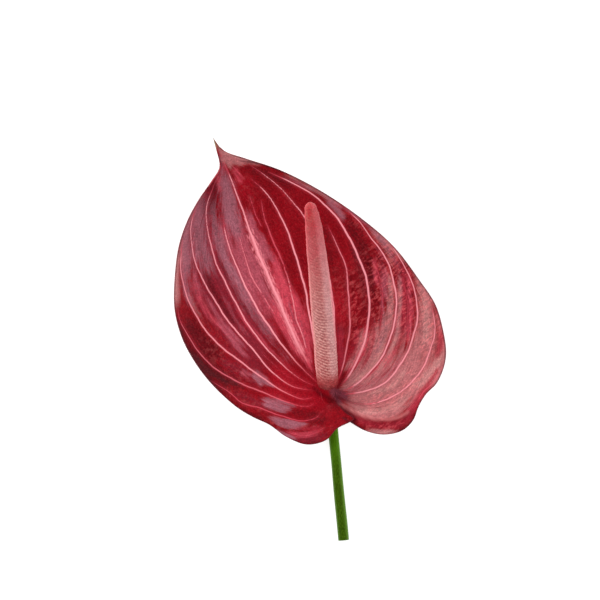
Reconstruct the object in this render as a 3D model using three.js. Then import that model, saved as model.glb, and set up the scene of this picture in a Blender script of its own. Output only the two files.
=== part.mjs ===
// A cut anthurium lying face up: a heart-shaped red blade, the spike that stands on it, and the stem below.
// Millimetres, +Z up, +Y towards the tip of the blade. The lowest points are at z = 0.

import * as THREE from 'three';

// Driving dimensions

const BLADE_THICKNESS = 0.75;
const ROWS = 78;
const COLUMN_SPACING = 3.0;
const RING_COLUMNS = 20;

const JUNCTION = [7.5, -21.6];
const RING_RADIUS_X = 2.9;
const RING_RADIUS_Y = 4.2;
const TIP = [-38.6, 80.4];

const STEM_RADIUS = 2.2;
const STEM_SIDES = 24;
const STEM_RINGS = 18;

const SPADIX_AROUND = 26;
const SPADIX_ALONG = 60;
const FLORET_RELIEF = 0.2;

// The plan of the blade: guide lines that leave the ring at an angle and all end at the tip

const GUIDES = [
  {
    name: 'right margin',
    angle: -58,
    line: [
      [10.8, -29.2], [16, -33], [22.4, -36.6], [29.6, -38], [36.8, -36.4], [41.2, -32.2], [43.5, -26.2],
      [46.4, -21.5], [50.1, -17.8], [52.8, -12.4], [54.1, -5.7], [53, 3.3], [49.9, 14], [43.7, 23.6],
      [33.8, 36.8], [20.8, 48.2], [4.7, 59.1], [-12.1, 67.6], [-25.7, 72], [-33.9, 74.8], [-37.5, 78.2],
    ],
  },
  {
    name: 'right lobe',
    angle: -8,
    line: [
      [16, -26.6], [24, -30.4], [33, -30.2], [40.4, -24.6], [45.6, -15], [48.6, -3], [47, 12],
      [40.5, 24], [31, 35.6], [17.5, 46.8], [1.5, 57.4], [-14, 66], [-27, 71.3], [-34.2, 75],
    ],
  },
  {
    name: 'right side',
    angle: 24,
    line: [
      [17, -20], [26, -11.4], [32, -1], [34.2, 10], [32, 22], [24, 37.5], [12, 49.5], [-3, 59.4],
      [-17, 66.6], [-28.5, 71.4], [-34.8, 74.8],
    ],
  },
  {
    name: 'behind the spike',
    angle: 62,
    line: [
      [12, -13], [15.4, 0], [16, 14], [12.5, 31], [4, 46.5], [-8, 58.8], [-20, 67], [-30, 71.8],
      [-35.2, 74.6],
    ],
  },
  {
    name: 'midrib',
    angle: 112,
    line: [
      [1.6, -14.2], [-4, -2.2], [-10.4, 11], [-16, 23.4], [-21.2, 35.8], [-25.6, 47], [-29.6, 58.6],
      [-32.8, 66.6], [-35.8, 74],
    ],
  },
  {
    name: 'left side',
    angle: 145,
    line: [
      [-4, -17], [-13.6, -7.2], [-22.8, 3.4], [-32, 19.4], [-37.8, 33], [-39.6, 46], [-37.4, 58],
      [-34.9, 67.4], [-36.3, 74],
    ],
  },
  {
    name: 'left belly',
    angle: 170,
    line: [
      [-4, -22], [-16, -17.4], [-30, -7], [-41.2, 3], [-47.6, 16], [-49.2, 31], [-45.6, 47],
      [-39.8, 58.6], [-35.5, 67.4], [-36.6, 74],
    ],
  },
  {
    name: 'left fold',
    angle: 205,
    line: [
      [-2, -29], [-12, -28], [-24.8, -23], [-36, -14.5], [-45, -4], [-50.6, 6.5], [-52.4, 19],
      [-50.2, 35.5], [-45.2, 50.5], [-39, 61.8], [-35.9, 68], [-36.8, 74],
    ],
  },
  {
    name: 'left lobe',
    angle: 262,
    line: [
      [6.4, -31.6], [0.4, -36.8], [-9, -35.6], [-18, -30.4], [-29.4, -24], [-39.8, -14.2],
      [-48.4, -2.4], [-52.6, 10.6], [-53.6, 24], [-50.8, 39.6], [-45.4, 53], [-39.2, 63], [-36.1, 68.4],
      [-36.95, 74.2],
    ],
  },
  {
    name: 'left margin',
    angle: 322,
    line: [
      [14, -28.8], [17.6, -31.6], [10.8, -35.6], [6.4, -40.2], [-1.2, -42], [-9.3, -39],
      [-16.2, -34.1], [-22.6, -31.1], [-28.6, -27.5], [-34.2, -22.8], [-40.5, -16.3], [-46.2, -8.5],
      [-51, 0.7], [-53.9, 11.8], [-53.8, 25.8], [-52.1, 37.8], [-48.5, 48], [-43.8, 56.4],
      [-38.9, 63.4], [-35.6, 68.6], [-37.1, 74.6],
    ],
  },
];

// The lie of the blade: heights of its upper face, joined by a smooth sheet

const HEIGHTS = [
  // round the ring
  [7.3, -17.4, 6.9], [10.4, -21.6, 7.3], [4.6, -21.8, 7.5], [7.7, -25.9, 8.5],
  // the right lobe, its ridge and its turned-down edge
  [14, -28, 8.0], [22, -31.5, 9.8], [30, -32.5, 11.2], [37, -30.5, 11.8],
  [16, -33, 7.6], [22.4, -36.6, 7.6], [29.6, -38, 8.2], [36.8, -36.4, 9.2], [41.2, -32.2, 10.4],
  [28, -24, 7.2], [38, -21, 8.0], [43.6, -26.2, 11.4], [50.8, -18, 11.6],
  // the right margin up to the tip
  [54.6, -5.8, 12.6], [53.6, 3.4, 12], [50.4, 14.2, 10.2], [44, 23.8, 7.2], [34, 37, 3.8],
  [20.8, 48.2, 4.8], [4.8, 59.2, 7.4], [-12, 67.8, 11], [-25.6, 72.2, 15], [-33.6, 75.2, 18.6],
  // the right half
  [44, 3, 7], [40, -8, 6.2], [28, -8, 4.4], [20, -14, 5.2], [36, 12, 3.8], [26, 8, 2.4],
  [26, 28, 0.84], [14, 22, 1.6], [9, 8, 2.8], [10, 40, 2.6], [-5, 50, 4.6],
  // the midrib
  [1.6, -14.2, 6], [-4, -2.2, 4.8], [-10.4, 11, 3.5], [-16, 23.4, 2.7], [-21.2, 35.8, 3.0],
  [-25.6, 47, 4.8], [-29.6, 58.6, 8.6], [-32.8, 66.6, 12.6], [-35.8, 74, 17.6], [-38.6, 80.4, 22.4],
  // the left half
  [-24, 8, 2.3], [-36, 12, 1.7], [-32, 27, 0.75], [-40, 40, 3.2], [-38, 54, 7.4],
  [-30, -8, 4.2], [-14, -18, 5.9], [-41, 0, 4.8],
  // the left margin and the left lobe
  [-39.6, 63.8, 13.2], [-44.4, 56.6, 11.8], [-49.2, 48.2, 10.4], [-52.4, 37.8, 9.2], [-54.1, 20, 8.8],
  [-51.4, 0.6, 9], [-46.4, -8.6, 8.6], [-40.8, -16.6, 8.6], [-28.8, -27.8, 8.6], [-25, -23, 7.8],
  [-12, -29.4, 9.8], [-3, -31.6, 10.4], [-16.4, -34.4, 8.6], [-9.6, -39.2, 8.2], [-1.2, -42, 8.2],
  [6.4, -40.2, 8.6], [10.8, -35.6, 8.8],
];

// the left lobe lies on the right lobe where the two meet behind the stem
const LOBE_LIFT = 1.45;

// The stem and the spike: centre lines and radii

const STEM_LINE = [
  [13.2, -80.4, 2.2], [11.2, -60, 2.25], [9.7, -42, 2.3], [8.7, -31, 2.8], [8.05, -25.4, 4.1],
  [7.55, -21.9, 7.2], [7.08, -18.1, 11.8],
];

const SPADIX_LINE = [
  [6.95, -15.4, 15.0], [6.35, -8.2, 17.9], [5.9, -0.3, 20.8], [5.2, 7.6, 23.7], [4.4, 15.5, 26.6],
  [3.4, 26.9, 30.6], [2.5, 34.6, 33.2], [1.2, 45.9, 36.9], [0.5, 50, 38.2], [0.1, 52.4, 39],
];

// share of the length, radius
const SPADIX_RADII = [
  [0, 4.25], [0.12, 4.45], [0.35, 4.4], [0.55, 4.2], [0.72, 3.85], [0.86, 3.4], [0.94, 2.95], [1, 2.3],
];

// Small helpers

function mix(a, b, t) {
  return a + (b - a) * t;
}

function smoothstep(low, high, x) {
  const t = Math.min(1, Math.max(0, (x - low) / (high - low)));
  return t * t * (3 - 2 * t);
}

function curveThrough(points) {
  const places = points.map((p) => new THREE.Vector3(p[0], p[1], p[2] ?? 0));
  return new THREE.CatmullRomCurve3(places, false, 'centripetal');
}

function valueAlong(table, t) {
  for (let i = 1; i < table.length; i += 1) {
    if (t <= table[i][0]) {
      const share = (t - table[i - 1][0]) / (table[i][0] - table[i - 1][0]);
      return mix(table[i - 1][1], table[i][1], smoothstep(0, 1, share));
    }
  }
  return table[table.length - 1][1];
}

// The sheet through the heights: a thin-plate spline, solved once

function plateKernel(dx, dy) {
  const d2 = dx * dx + dy * dy;
  return d2 > 0 ? 0.5 * d2 * Math.log(d2) : 0;
}

function solve(matrix, right) {
  const n = right.length;
  for (let c = 0; c < n; c += 1) {
    let pivot = c;
    for (let r = c + 1; r < n; r += 1) {
      if (Math.abs(matrix[r][c]) > Math.abs(matrix[pivot][c])) pivot = r;
    }
    [matrix[c], matrix[pivot]] = [matrix[pivot], matrix[c]];
    [right[c], right[pivot]] = [right[pivot], right[c]];
    for (let r = c + 1; r < n; r += 1) {
      const f = matrix[r][c] / matrix[c][c];
      for (let k = c; k < n; k += 1) matrix[r][k] -= f * matrix[c][k];
      right[r] -= f * right[c];
    }
  }
  for (let c = n - 1; c >= 0; c -= 1) {
    for (let k = c + 1; k < n; k += 1) right[c] -= matrix[c][k] * right[k];
    right[c] /= matrix[c][c];
  }
  return right;
}

function makeSheet(pins) {
  const n = pins.length;
  const matrix = [];
  const right = [];
  for (let i = 0; i < n; i += 1) {
    const row = pins.map((p) => plateKernel(p[0] - pins[i][0], p[1] - pins[i][1]));
    row[i] = 8;
    matrix.push([...row, 1, pins[i][0], pins[i][1]]);
    right.push(pins[i][2]);
  }
  matrix.push([...pins.map(() => 1), 0, 0, 0]);
  matrix.push([...pins.map((p) => p[0]), 0, 0, 0]);
  matrix.push([...pins.map((p) => p[1]), 0, 0, 0]);
  right.push(0, 0, 0);
  const w = solve(matrix, right);
  return (x, y) => {
    let z = w[n] + w[n + 1] * x + w[n + 2] * y;
    for (let i = 0; i < n; i += 1) z += w[i] * plateKernel(x - pins[i][0], y - pins[i][1]);
    return z;
  };
}

const sheet = makeSheet(HEIGHTS);

// Plan position: share across from the right margin to the left, share along from the ring to the tip

function ringPoint(angle) {
  const a = THREE.MathUtils.degToRad(angle);
  return [JUNCTION[0] + RING_RADIUS_X * Math.cos(a), JUNCTION[1] + RING_RADIUS_Y * Math.sin(a)];
}

const guideCurves = GUIDES.map((g) => {
  const curve = curveThrough([ringPoint(g.angle), ...g.line, TIP]);
  curve.arcLengthDivisions = 600;
  return curve;
});

function guidePoints(along) {
  return guideCurves.map((curve) => curve.getPointAt(along));
}

function planPoint(points, across, along) {
  const last = GUIDES.length - 1;
  const k = Math.min(last - 1, Math.floor(across * last));
  const t = across * last - k;
  const angle = mix(GUIDES[k].angle, GUIDES[k + 1].angle, t);
  const a = ringPoint(GUIDES[k].angle);
  const b = ringPoint(GUIDES[k + 1].angle);
  const onRing = ringPoint(angle);
  const pull = (1 - along) ** 10;
  return [
    mix(points[k].x, points[k + 1].x, t) + (onRing[0] - mix(a[0], b[0], t)) * pull,
    mix(points[k].y, points[k + 1].y, t) + (onRing[1] - mix(a[1], b[1], t)) * pull,
  ];
}

function bladePoint(points, across, along) {
  const [x, y] = planPoint(points, across, along);
  const lift = LOBE_LIFT * smoothstep(0.86, 0.99, across) * (1 - smoothstep(0.1, 0.17, along));
  return new THREE.Vector3(x, y, sheet(x, y) + lift);
}

// Rows of the blade, each with evenly spaced columns

function makeRow(along) {
  if (along >= 1) return [{ across: 0.5, point: bladePoint(guidePoints(1), 0.5, 1) }];
  const points = guidePoints(along);
  const steps = 360;
  const travelled = [0];
  let before = bladePoint(points, 0, along);
  for (let i = 1; i <= steps; i += 1) {
    const here = bladePoint(points, i / steps, along);
    travelled.push(travelled[i - 1] + here.distanceTo(before));
    before = here;
  }
  const length = travelled[steps];
  const fewest = along < 0.12 ? RING_COLUMNS : 2;
  const columns = Math.max(fewest, Math.round(length / COLUMN_SPACING));
  const row = [];
  let i = 0;
  for (let c = 0; c <= columns; c += 1) {
    const want = (length * c) / columns;
    while (i < steps - 1 && travelled[i + 1] < want) i += 1;
    const share = (want - travelled[i]) / (travelled[i + 1] - travelled[i]);
    const across = Math.min(1, (i + share) / steps);
    row.push({ across, point: bladePoint(points, across, along) });
  }
  return row;
}

// A closed blade from the rows: the same triangles on both faces, and a rim between them

function makeBlade() {
  const rows = [];
  const vertices = [];
  for (let r = 0; r <= ROWS; r += 1) {
    const row = makeRow(r / ROWS);
    row.forEach((v) => {
      v.index = vertices.length;
      vertices.push(v.point);
    });
    rows.push(row);
  }
  const triangles = [];
  for (let r = 0; r < ROWS; r += 1) {
    const a = rows[r];
    const b = rows[r + 1];
    let i = 0;
    let j = 0;
    while (i < a.length - 1 || j < b.length - 1) {
      const stepA = i < a.length - 1 ? (a[i].across + a[i + 1].across) / 2 : 2;
      const stepB = j < b.length - 1 ? (b[j].across + b[j + 1].across) / 2 : 2;
      if (stepA <= stepB) {
        triangles.push([a[i].index, b[j].index, a[i + 1].index]);
        i += 1;
      } else {
        triangles.push([a[i].index, b[j].index, b[j + 1].index]);
        j += 1;
      }
    }
  }
  const normals = vertices.map(() => new THREE.Vector3());
  triangles.forEach((t) => {
    const u = vertices[t[1]].clone().sub(vertices[t[0]]);
    const v = vertices[t[2]].clone().sub(vertices[t[0]]);
    const n = v.cross(u).negate();
    t.forEach((k) => normals[k].add(n));
  });
  const up = normals[rows[20][8].index].z > 0 ? 1 : -1;
  const count = vertices.length;
  const drop = -up * BLADE_THICKNESS;
  const under = vertices.map((v, k) => v.clone().addScaledVector(normals[k].normalize(), drop));
  const faces = [];
  triangles.forEach(([a, b, c]) => {
    faces.push(up > 0 ? [a, b, c] : [a, c, b]);
    faces.push(up > 0 ? [a + count, c + count, b + count] : [a + count, b + count, c + count]);
  });
  const rim = [];
  rows.forEach((row) => rim.push(row[0].index));
  rows.slice(0, -1).reverse().forEach((row) => rim.push(row[row.length - 1].index));
  rows[0].slice(1, -1).reverse().forEach((v) => rim.push(v.index));
  for (let k = 0; k < rim.length; k += 1) {
    const a = rim[k];
    const b = rim[(k + 1) % rim.length];
    faces.push(up > 0 ? [a, a + count, b] : [a, b, a + count]);
    faces.push(up > 0 ? [b, a + count, b + count] : [b, b + count, a + count]);
  }
  return makeGeometry([...vertices, ...under], faces);
}

function makeGeometry(vertices, faces) {
  const geometry = new THREE.BufferGeometry();
  const positions = new Float32Array(vertices.length * 3);
  vertices.forEach((v, k) => v.toArray(positions, k * 3));
  geometry.setAttribute('position', new THREE.BufferAttribute(positions, 3));
  geometry.setIndex(faces.flat());
  geometry.computeVertexNormals();
  return geometry;
}

// A round body swept along a centre line, with a chosen radius at each share and turn

function makeSweep(line, rings, sides, radiusAt, startPush, endPush) {
  const curve = curveThrough(line);
  curve.arcLengthDivisions = 600;
  const vertices = [];
  const faces = [];
  const side = new THREE.Vector3(1, 0, 0);
  for (let r = 0; r <= rings; r += 1) {
    const centre = curve.getPointAt(r / rings);
    const ahead = curve.getTangentAt(r / rings);
    const across = side.clone().addScaledVector(ahead, -side.dot(ahead)).normalize();
    const up = across.clone().cross(ahead).normalize();
    for (let s = 0; s < sides; s += 1) {
      const turn = (2 * Math.PI * s) / sides;
      const radius = radiusAt(r / rings, s, r);
      const reach = across.clone().multiplyScalar(Math.cos(turn) * radius);
      reach.addScaledVector(up, Math.sin(turn) * radius);
      vertices.push(centre.clone().add(reach));
    }
  }
  for (let r = 0; r < rings; r += 1) {
    for (let s = 0; s < sides; s += 1) {
      const a = r * sides + s;
      const b = r * sides + ((s + 1) % sides);
      const even = (r + s) % 2 === 0;
      const c = a + sides;
      const d = b + sides;
      faces.push(even ? [a, d, b] : [a, c, b]);
      faces.push(even ? [a, c, d] : [b, c, d]);
    }
  }
  closeEnd(vertices, faces, 0, sides, curve.getPointAt(0), curve.getTangentAt(0).negate(), startPush, false);
  closeEnd(vertices, faces, rings * sides, sides, curve.getPointAt(1), curve.getTangentAt(1), endPush, true);
  return makeGeometry(vertices, faces);
}

// push is a list of [share of the end radius, distance outwards], from the rim to the middle
function closeEnd(vertices, faces, first, sides, centre, outward, push, far) {
  let ring = first;
  const rim = vertices.slice(first, first + sides);
  push.forEach(([share, distance]) => {
    const start = vertices.length;
    const middle = centre.clone().addScaledVector(outward, distance);
    if (share === 0) {
      vertices.push(middle);
      for (let s = 0; s < sides; s += 1) {
        const a = ring + s;
        const b = ring + ((s + 1) % sides);
        faces.push(far ? [b, a, start] : [a, b, start]);
      }
      return;
    }
    rim.forEach((v) => {
      vertices.push(middle.clone().addScaledVector(v.clone().sub(centre), share));
    });
    for (let s = 0; s < sides; s += 1) {
      const t = (s + 1) % sides;
      faces.push(far ? [ring + t, ring + s, start + s] : [ring + s, ring + t, start + t]);
      faces.push(far ? [ring + t, start + s, start + t] : [ring + s, start + t, start + s]);
    }
    ring = start;
  });
}

// The three pieces

const spatheMaterial = new THREE.MeshStandardMaterial({ color: 0x93101f, roughness: 0.32, metalness: 0 });
const spadixMaterial = new THREE.MeshStandardMaterial({ color: 0xc97f76, roughness: 0.6, metalness: 0 });
const stemMaterial = new THREE.MeshStandardMaterial({ color: 0x4c7a1c, roughness: 0.45, metalness: 0 });

const spathe = new THREE.Mesh(makeBlade(), spatheMaterial);
spathe.name = 'spathe';

const spadix = new THREE.Mesh(
  makeSweep(
    SPADIX_LINE,
    SPADIX_ALONG,
    SPADIX_AROUND,
    (share, s, r) => valueAlong(SPADIX_RADII, share) + ((s + r) % 2 === 0 ? FLORET_RELIEF : -FLORET_RELIEF),
    [[0.86, 2.0], [0.5, 3.5], [0, 4.1]],
    [[0.8, 1.0], [0.45, 1.7], [0, 2.0]],
  ),
  spadixMaterial,
);
spadix.name = 'spadix';

const stem = new THREE.Mesh(
  makeSweep(
    STEM_LINE,
    STEM_RINGS,
    STEM_SIDES,
    (share) => STEM_RADIUS * (1 - 0.05 * Math.sin(Math.PI * share)),
    [[0, 0]],
    [[0.55, -0.25], [0, -0.4]],
  ),
  stemMaterial,
);
stem.name = 'stem';

const group = new THREE.Group();
group.name = 'anthurium_flower';
group.add(stem, spathe, spadix);

export default group;
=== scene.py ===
# %% [markdown]
# A cut anthurium, lying face up on a pale table. It has three pieces: a waxy red blade that looks like a
# leaf and is called the spathe, a spike set with tiny florets that is called the spadix, and the stem below
# them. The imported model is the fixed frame: it gives the place and the size of each piece, and everything
# made here only dresses it. Lengths are written in millimetres and turned into metres by one factor.

# %% Load the frame
import math

import bpy
import numpy as np
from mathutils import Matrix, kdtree


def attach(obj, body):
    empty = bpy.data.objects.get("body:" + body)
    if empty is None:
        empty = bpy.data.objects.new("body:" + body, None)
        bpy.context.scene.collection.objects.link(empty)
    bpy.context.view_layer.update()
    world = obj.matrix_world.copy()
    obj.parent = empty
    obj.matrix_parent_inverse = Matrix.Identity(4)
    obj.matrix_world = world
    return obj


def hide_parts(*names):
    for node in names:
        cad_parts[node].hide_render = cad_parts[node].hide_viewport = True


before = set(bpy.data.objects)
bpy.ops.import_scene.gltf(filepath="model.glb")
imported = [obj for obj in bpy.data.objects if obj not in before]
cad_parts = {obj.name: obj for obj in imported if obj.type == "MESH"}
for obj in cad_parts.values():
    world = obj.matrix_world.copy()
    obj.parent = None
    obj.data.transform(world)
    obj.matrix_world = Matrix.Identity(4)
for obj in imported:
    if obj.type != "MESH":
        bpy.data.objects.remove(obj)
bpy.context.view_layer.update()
MM = 0.001

# %% [markdown]
# The photograph looks straight at the open face of the blade. The flower lies down here, so the camera
# hangs over it and looks straight down. A long lens from two metres keeps the spike, which stands nearer to
# it, from growing too big.

# %% Camera
VIEW_MIDDLE = (-4.0, 15.8)
CAMERA_HEIGHT = 2000.0
FIELD_WIDTH = 240.8
SENSOR_WIDTH = 36.0


def put_in_scene(name, data):
    made = bpy.data.objects.new(name, data)
    bpy.context.scene.collection.objects.link(made)
    return made


camera_data = bpy.data.cameras.new("table_camera")
camera_data.sensor_width = SENSOR_WIDTH
camera_data.lens = SENSOR_WIDTH * CAMERA_HEIGHT / FIELD_WIDTH
camera_data.clip_start = 0.05
camera_data.clip_end = 20.0
camera = put_in_scene("table_camera", camera_data)
camera.location = (VIEW_MIDDLE[0] * MM, VIEW_MIDDLE[1] * MM, CAMERA_HEIGHT * MM)
bpy.context.scene.camera = camera
print("lens in mm", round(camera_data.lens, 1))

# %% [markdown]
# Every form on this flower is a soft curve. A few given points, and a smooth curve through them that is
# walked in equal steps, give such a curve without a long list of numbers. This curve passes through all of
# its points and doesn't swing out between them, because its steps follow the distance from point to point.
# Two soft shapes of one number come back all over: a step that rises from 0 to 1, and a bell that falls
# away on both sides.

# %% A smooth curve through a few points
STEPS_BETWEEN_POINTS = 40


def walked_along(line):
    """how far one has walked at each point of a line"""
    return np.r_[0, np.cumsum(np.linalg.norm(np.diff(line, axis=0), axis=1))]


def smooth_curve(points, count):
    """count points at equal steps along the curve through the points"""
    p = np.array([list(q) + [0.0] * (3 - len(q)) for q in points], float)
    p = np.vstack([2 * p[0] - p[1], p, 2 * p[-1] - p[-2]])
    t = np.linspace(0, 1, STEPS_BETWEEN_POINTS, endpoint=False)[:, None]
    pieces = []
    for a, b, c, d in zip(p[:-3], p[1:-2], p[2:-1], p[3:]):
        s0, s1, s2 = (max(np.linalg.norm(v - u), 1e-9) ** 0.5 for u, v in ((a, b), (b, c), (c, d)))
        start = ((b - a) / s0 - (c - a) / (s0 + s1) + (c - b) / s1) * s1
        end = ((c - b) / s1 - (d - b) / (s1 + s2) + (d - c) / s2) * s1
        pieces.append(
            b * (2 * t**3 - 3 * t**2 + 1) + start * (t**3 - 2 * t**2 + t)
            + c * (3 * t**2 - 2 * t**3) + end * (t**3 - t**2))
    path = np.vstack([*pieces, p[-2]])
    walked = walked_along(path)
    steps = np.linspace(0, walked[-1], count)
    return np.stack([np.interp(steps, walked, path[:, k]) for k in range(3)], 1)


def smoothstep(low, high, x):
    t = np.clip((x - low) / (high - low), 0, 1)
    return t * t * (3 - 2 * t)


def bell(x, width):
    return np.exp(-((x / width) ** 2))


arc = smooth_curve([(10 * np.cos(a), 10 * np.sin(a)) for a in np.linspace(0, np.pi / 2, 7)], 50)
print("a quarter of a circle, 15.7 mm long, is measured as", round(walked_along(arc)[-1], 1))

# %% [markdown]
# The blade is drawn from above first. Ten guide lines leave the ring round the stem, spread out like the
# veins and run together again at the tip; the first and the last are the blade's two edges. The left lobe's
# edge ends on top of the right lobe, behind the stem. These are the same lines as those of the solid that
# is replaced, so it keeps its outline. Each has a name, the angle in degrees at which it leaves the ring,
# and its points.

# %% Guide lines of the blade, in millimetres
RING_MIDDLE = (7.5, -21.6)
RING_REACH = (2.9, 4.2)
TIP = (-38.6, 80.4)
GUIDES = [
    ("right margin", -58, [
        (10.8, -29.2), (16, -33), (22.4, -36.6), (29.6, -38), (36.8, -36.4), (41.2, -32.2), (43.5, -26.2),
        (46.4, -21.5), (50.1, -17.8), (52.8, -12.4), (54.1, -5.7), (53, 3.3), (49.9, 14), (43.7, 23.6),
        (33.8, 36.8), (20.8, 48.2), (4.7, 59.1), (-12.1, 67.6), (-25.7, 72), (-33.9, 74.8), (-37.5, 78.2)]),
    ("right lobe", -8, [
        (16, -26.6), (24, -30.4), (33, -30.2), (40.4, -24.6), (45.6, -15), (48.6, -3), (47, 12),
        (40.5, 24), (31, 35.6), (17.5, 46.8), (1.5, 57.4), (-14, 66), (-27, 71.3), (-34.2, 75)]),
    ("right side", 24, [
        (17, -20), (26, -11.4), (32, -1), (34.2, 10), (32, 22), (24, 37.5), (12, 49.5), (-3, 59.4),
        (-17, 66.6), (-28.5, 71.4), (-34.8, 74.8)]),
    ("behind the spike", 62, [
        (12, -13), (15.4, 0), (16, 14), (12.5, 31), (4, 46.5), (-8, 58.8), (-20, 67), (-30, 71.8),
        (-35.2, 74.6)]),
    ("midrib", 112, [
        (1.6, -14.2), (-4, -2.2), (-10.4, 11), (-16, 23.4), (-21.2, 35.8), (-25.6, 47), (-29.6, 58.6),
        (-32.8, 66.6), (-35.8, 74)]),
    ("left side", 145, [
        (-4, -17), (-13.6, -7.2), (-22.8, 3.4), (-32, 19.4), (-37.8, 33), (-39.6, 46), (-37.4, 58),
        (-34.9, 67.4), (-36.3, 74)]),
    ("left belly", 170, [
        (-4, -22), (-16, -17.4), (-30, -7), (-41.2, 3), (-47.6, 16), (-49.2, 31), (-45.6, 47),
        (-39.8, 58.6), (-35.5, 67.4), (-36.6, 74)]),
    ("left fold", 205, [
        (-2, -29), (-12, -28), (-24.8, -23), (-36, -14.5), (-45, -4), (-50.6, 6.5), (-52.4, 19),
        (-50.2, 35.5), (-45.2, 50.5), (-39, 61.8), (-35.9, 68), (-36.8, 74)]),
    ("left lobe", 262, [
        (6.4, -31.6), (0.4, -36.8), (-9, -35.6), (-18, -30.4), (-29.4, -24), (-39.8, -14.2),
        (-48.4, -2.4), (-52.6, 10.6), (-53.6, 24), (-50.8, 39.6), (-45.4, 53), (-39.2, 63), (-36.1, 68.4),
        (-36.95, 74.2)]),
    ("left margin", 322, [
        (14, -28.8), (17.6, -31.6), (10.8, -35.6), (6.4, -40.2), (-1.2, -42), (-9.3, -39),
        (-16.2, -34.1), (-22.6, -31.1), (-28.6, -27.5), (-34.2, -22.8), (-40.5, -16.3), (-46.2, -8.5),
        (-51, 0.7), (-53.9, 11.8), (-53.8, 25.8), (-52.1, 37.8), (-48.5, 48), (-43.8, 56.4),
        (-38.9, 63.4), (-35.6, 68.6), (-37.1, 74.6)]),
]
print("guide lines", [name for name, _, _ in GUIDES])

# %% [markdown]
# The blade isn't flat. It sags into two bellies beside the midrib, its edges rise, its lobes curl and its
# tip lifts. Heights pinned at 73 places are joined by a thin-plate spline, which bends as a thin sheet of
# metal pushed against those pins would. The pins give a little, so that small errors in them don't dent the
# sheet. It is one small set of linear equations, solved once.

# %% Heights of the blade's upper face and the sheet that joins them
HEIGHTS = [
    (7.3, -17.4, 6.9), (10.4, -21.6, 7.3), (4.6, -21.8, 7.5), (7.7, -25.9, 8.5),
    (14, -28, 8.0), (22, -31.5, 9.8), (30, -32.5, 11.2), (37, -30.5, 11.8),
    (16, -33, 7.6), (22.4, -36.6, 7.6), (29.6, -38, 8.2), (36.8, -36.4, 9.2), (41.2, -32.2, 10.4),
    (28, -24, 7.2), (38, -21, 8.0), (43.6, -26.2, 11.4), (50.8, -18, 11.6),
    (54.6, -5.8, 12.6), (53.6, 3.4, 12), (50.4, 14.2, 10.2), (44, 23.8, 7.2), (34, 37, 3.8),
    (20.8, 48.2, 4.8), (4.8, 59.2, 7.4), (-12, 67.8, 11), (-25.6, 72.2, 15), (-33.6, 75.2, 18.6),
    (44, 3, 7), (40, -8, 6.2), (28, -8, 4.4), (20, -14, 5.2), (36, 12, 3.8), (26, 8, 2.4),
    (26, 28, 0.84), (14, 22, 1.6), (9, 8, 2.8), (10, 40, 2.6), (-5, 50, 4.6),
    (1.6, -14.2, 6), (-4, -2.2, 4.8), (-10.4, 11, 3.5), (-16, 23.4, 2.7), (-21.2, 35.8, 3.0),
    (-25.6, 47, 4.8), (-29.6, 58.6, 8.6), (-32.8, 66.6, 12.6), (-35.8, 74, 17.6), (-38.6, 80.4, 22.4),
    (-24, 8, 2.3), (-36, 12, 1.7), (-32, 27, 0.75), (-40, 40, 3.2), (-38, 54, 7.4),
    (-30, -8, 4.2), (-14, -18, 5.9), (-41, 0, 4.8),
    (-39.6, 63.8, 13.2), (-44.4, 56.6, 11.8), (-49.2, 48.2, 10.4), (-52.4, 37.8, 9.2), (-54.1, 20, 8.8),
    (-51.4, 0.6, 9), (-46.4, -8.6, 8.6), (-40.8, -16.6, 8.6), (-28.8, -27.8, 8.6), (-25, -23, 7.8),
    (-12, -29.4, 9.8), (-3, -31.6, 10.4), (-16.4, -34.4, 8.6), (-9.6, -39.2, 8.2), (-1.2, -42, 8.2),
    (6.4, -40.2, 8.6), (10.8, -35.6, 8.8),
]
PIN_GIVE = 8.0


def plate_kernel(dx, dy):
    d2 = dx * dx + dy * dy
    return 0.5 * d2 * np.log(np.maximum(d2, 1e-12))


def make_sheet(pins):
    pins = np.array(pins, float)
    n = len(pins)
    matrix = np.zeros((n + 3, n + 3))
    matrix[:n, :n] = plate_kernel(pins[:, None, 0] - pins[None, :, 0], pins[:, None, 1] - pins[None, :, 1])
    matrix[np.arange(n), np.arange(n)] = PIN_GIVE
    flat = np.c_[np.ones(n), pins[:, :2]]
    matrix[:n, n:], matrix[n:, :n] = flat, flat.T
    weights = np.linalg.solve(matrix, np.r_[pins[:, 2], 0, 0, 0])

    def height(x, y):
        z = weights[n] + weights[n + 1] * x + weights[n + 2] * y
        for (px, py, _), w in zip(pins, weights):
            z = z + w * plate_kernel(x - px, y - py)
        return z

    return height


sheet = make_sheet(HEIGHTS)
print("height in mm of the belly", round(float(sheet(-32, 25)), 2), "tip", round(float(sheet(*TIP)), 2))

# %% [markdown]
# At the junction the blade isn't a loose disc round the stem. Its tissue runs up the stem as a short collar
# and ends round the foot of the spike, so from above red skin reaches the spike without a gap. The collar
# has to find both, which is why the centre lines of stem and spike are set down here, before the two are
# made.

# %% Centre lines of the stem and the spike, and frames along a line
STEM_LINE = [
    (13.5, -80.4, 2.2), (11.5, -60, 2.25), (9.8, -42, 2.3), (8.7, -31, 2.8), (8.05, -25.4, 4.1),
    (7.55, -21.9, 7.2), (7.08, -18.1, 11.8),
]
SPADIX_LINE = [
    (6.95, -15.4, 15.0), (6.35, -8.2, 17.9), (5.9, -0.3, 20.8), (5.2, 7.6, 23.7), (4.4, 15.5, 26.6),
    (3.4, 26.9, 30.6), (2.5, 34.6, 33.2), (1.2, 45.9, 36.9), (0.5, 50, 38.2), (0.1, 52.4, 39),
]

LINE_POINTS = 401


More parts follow.
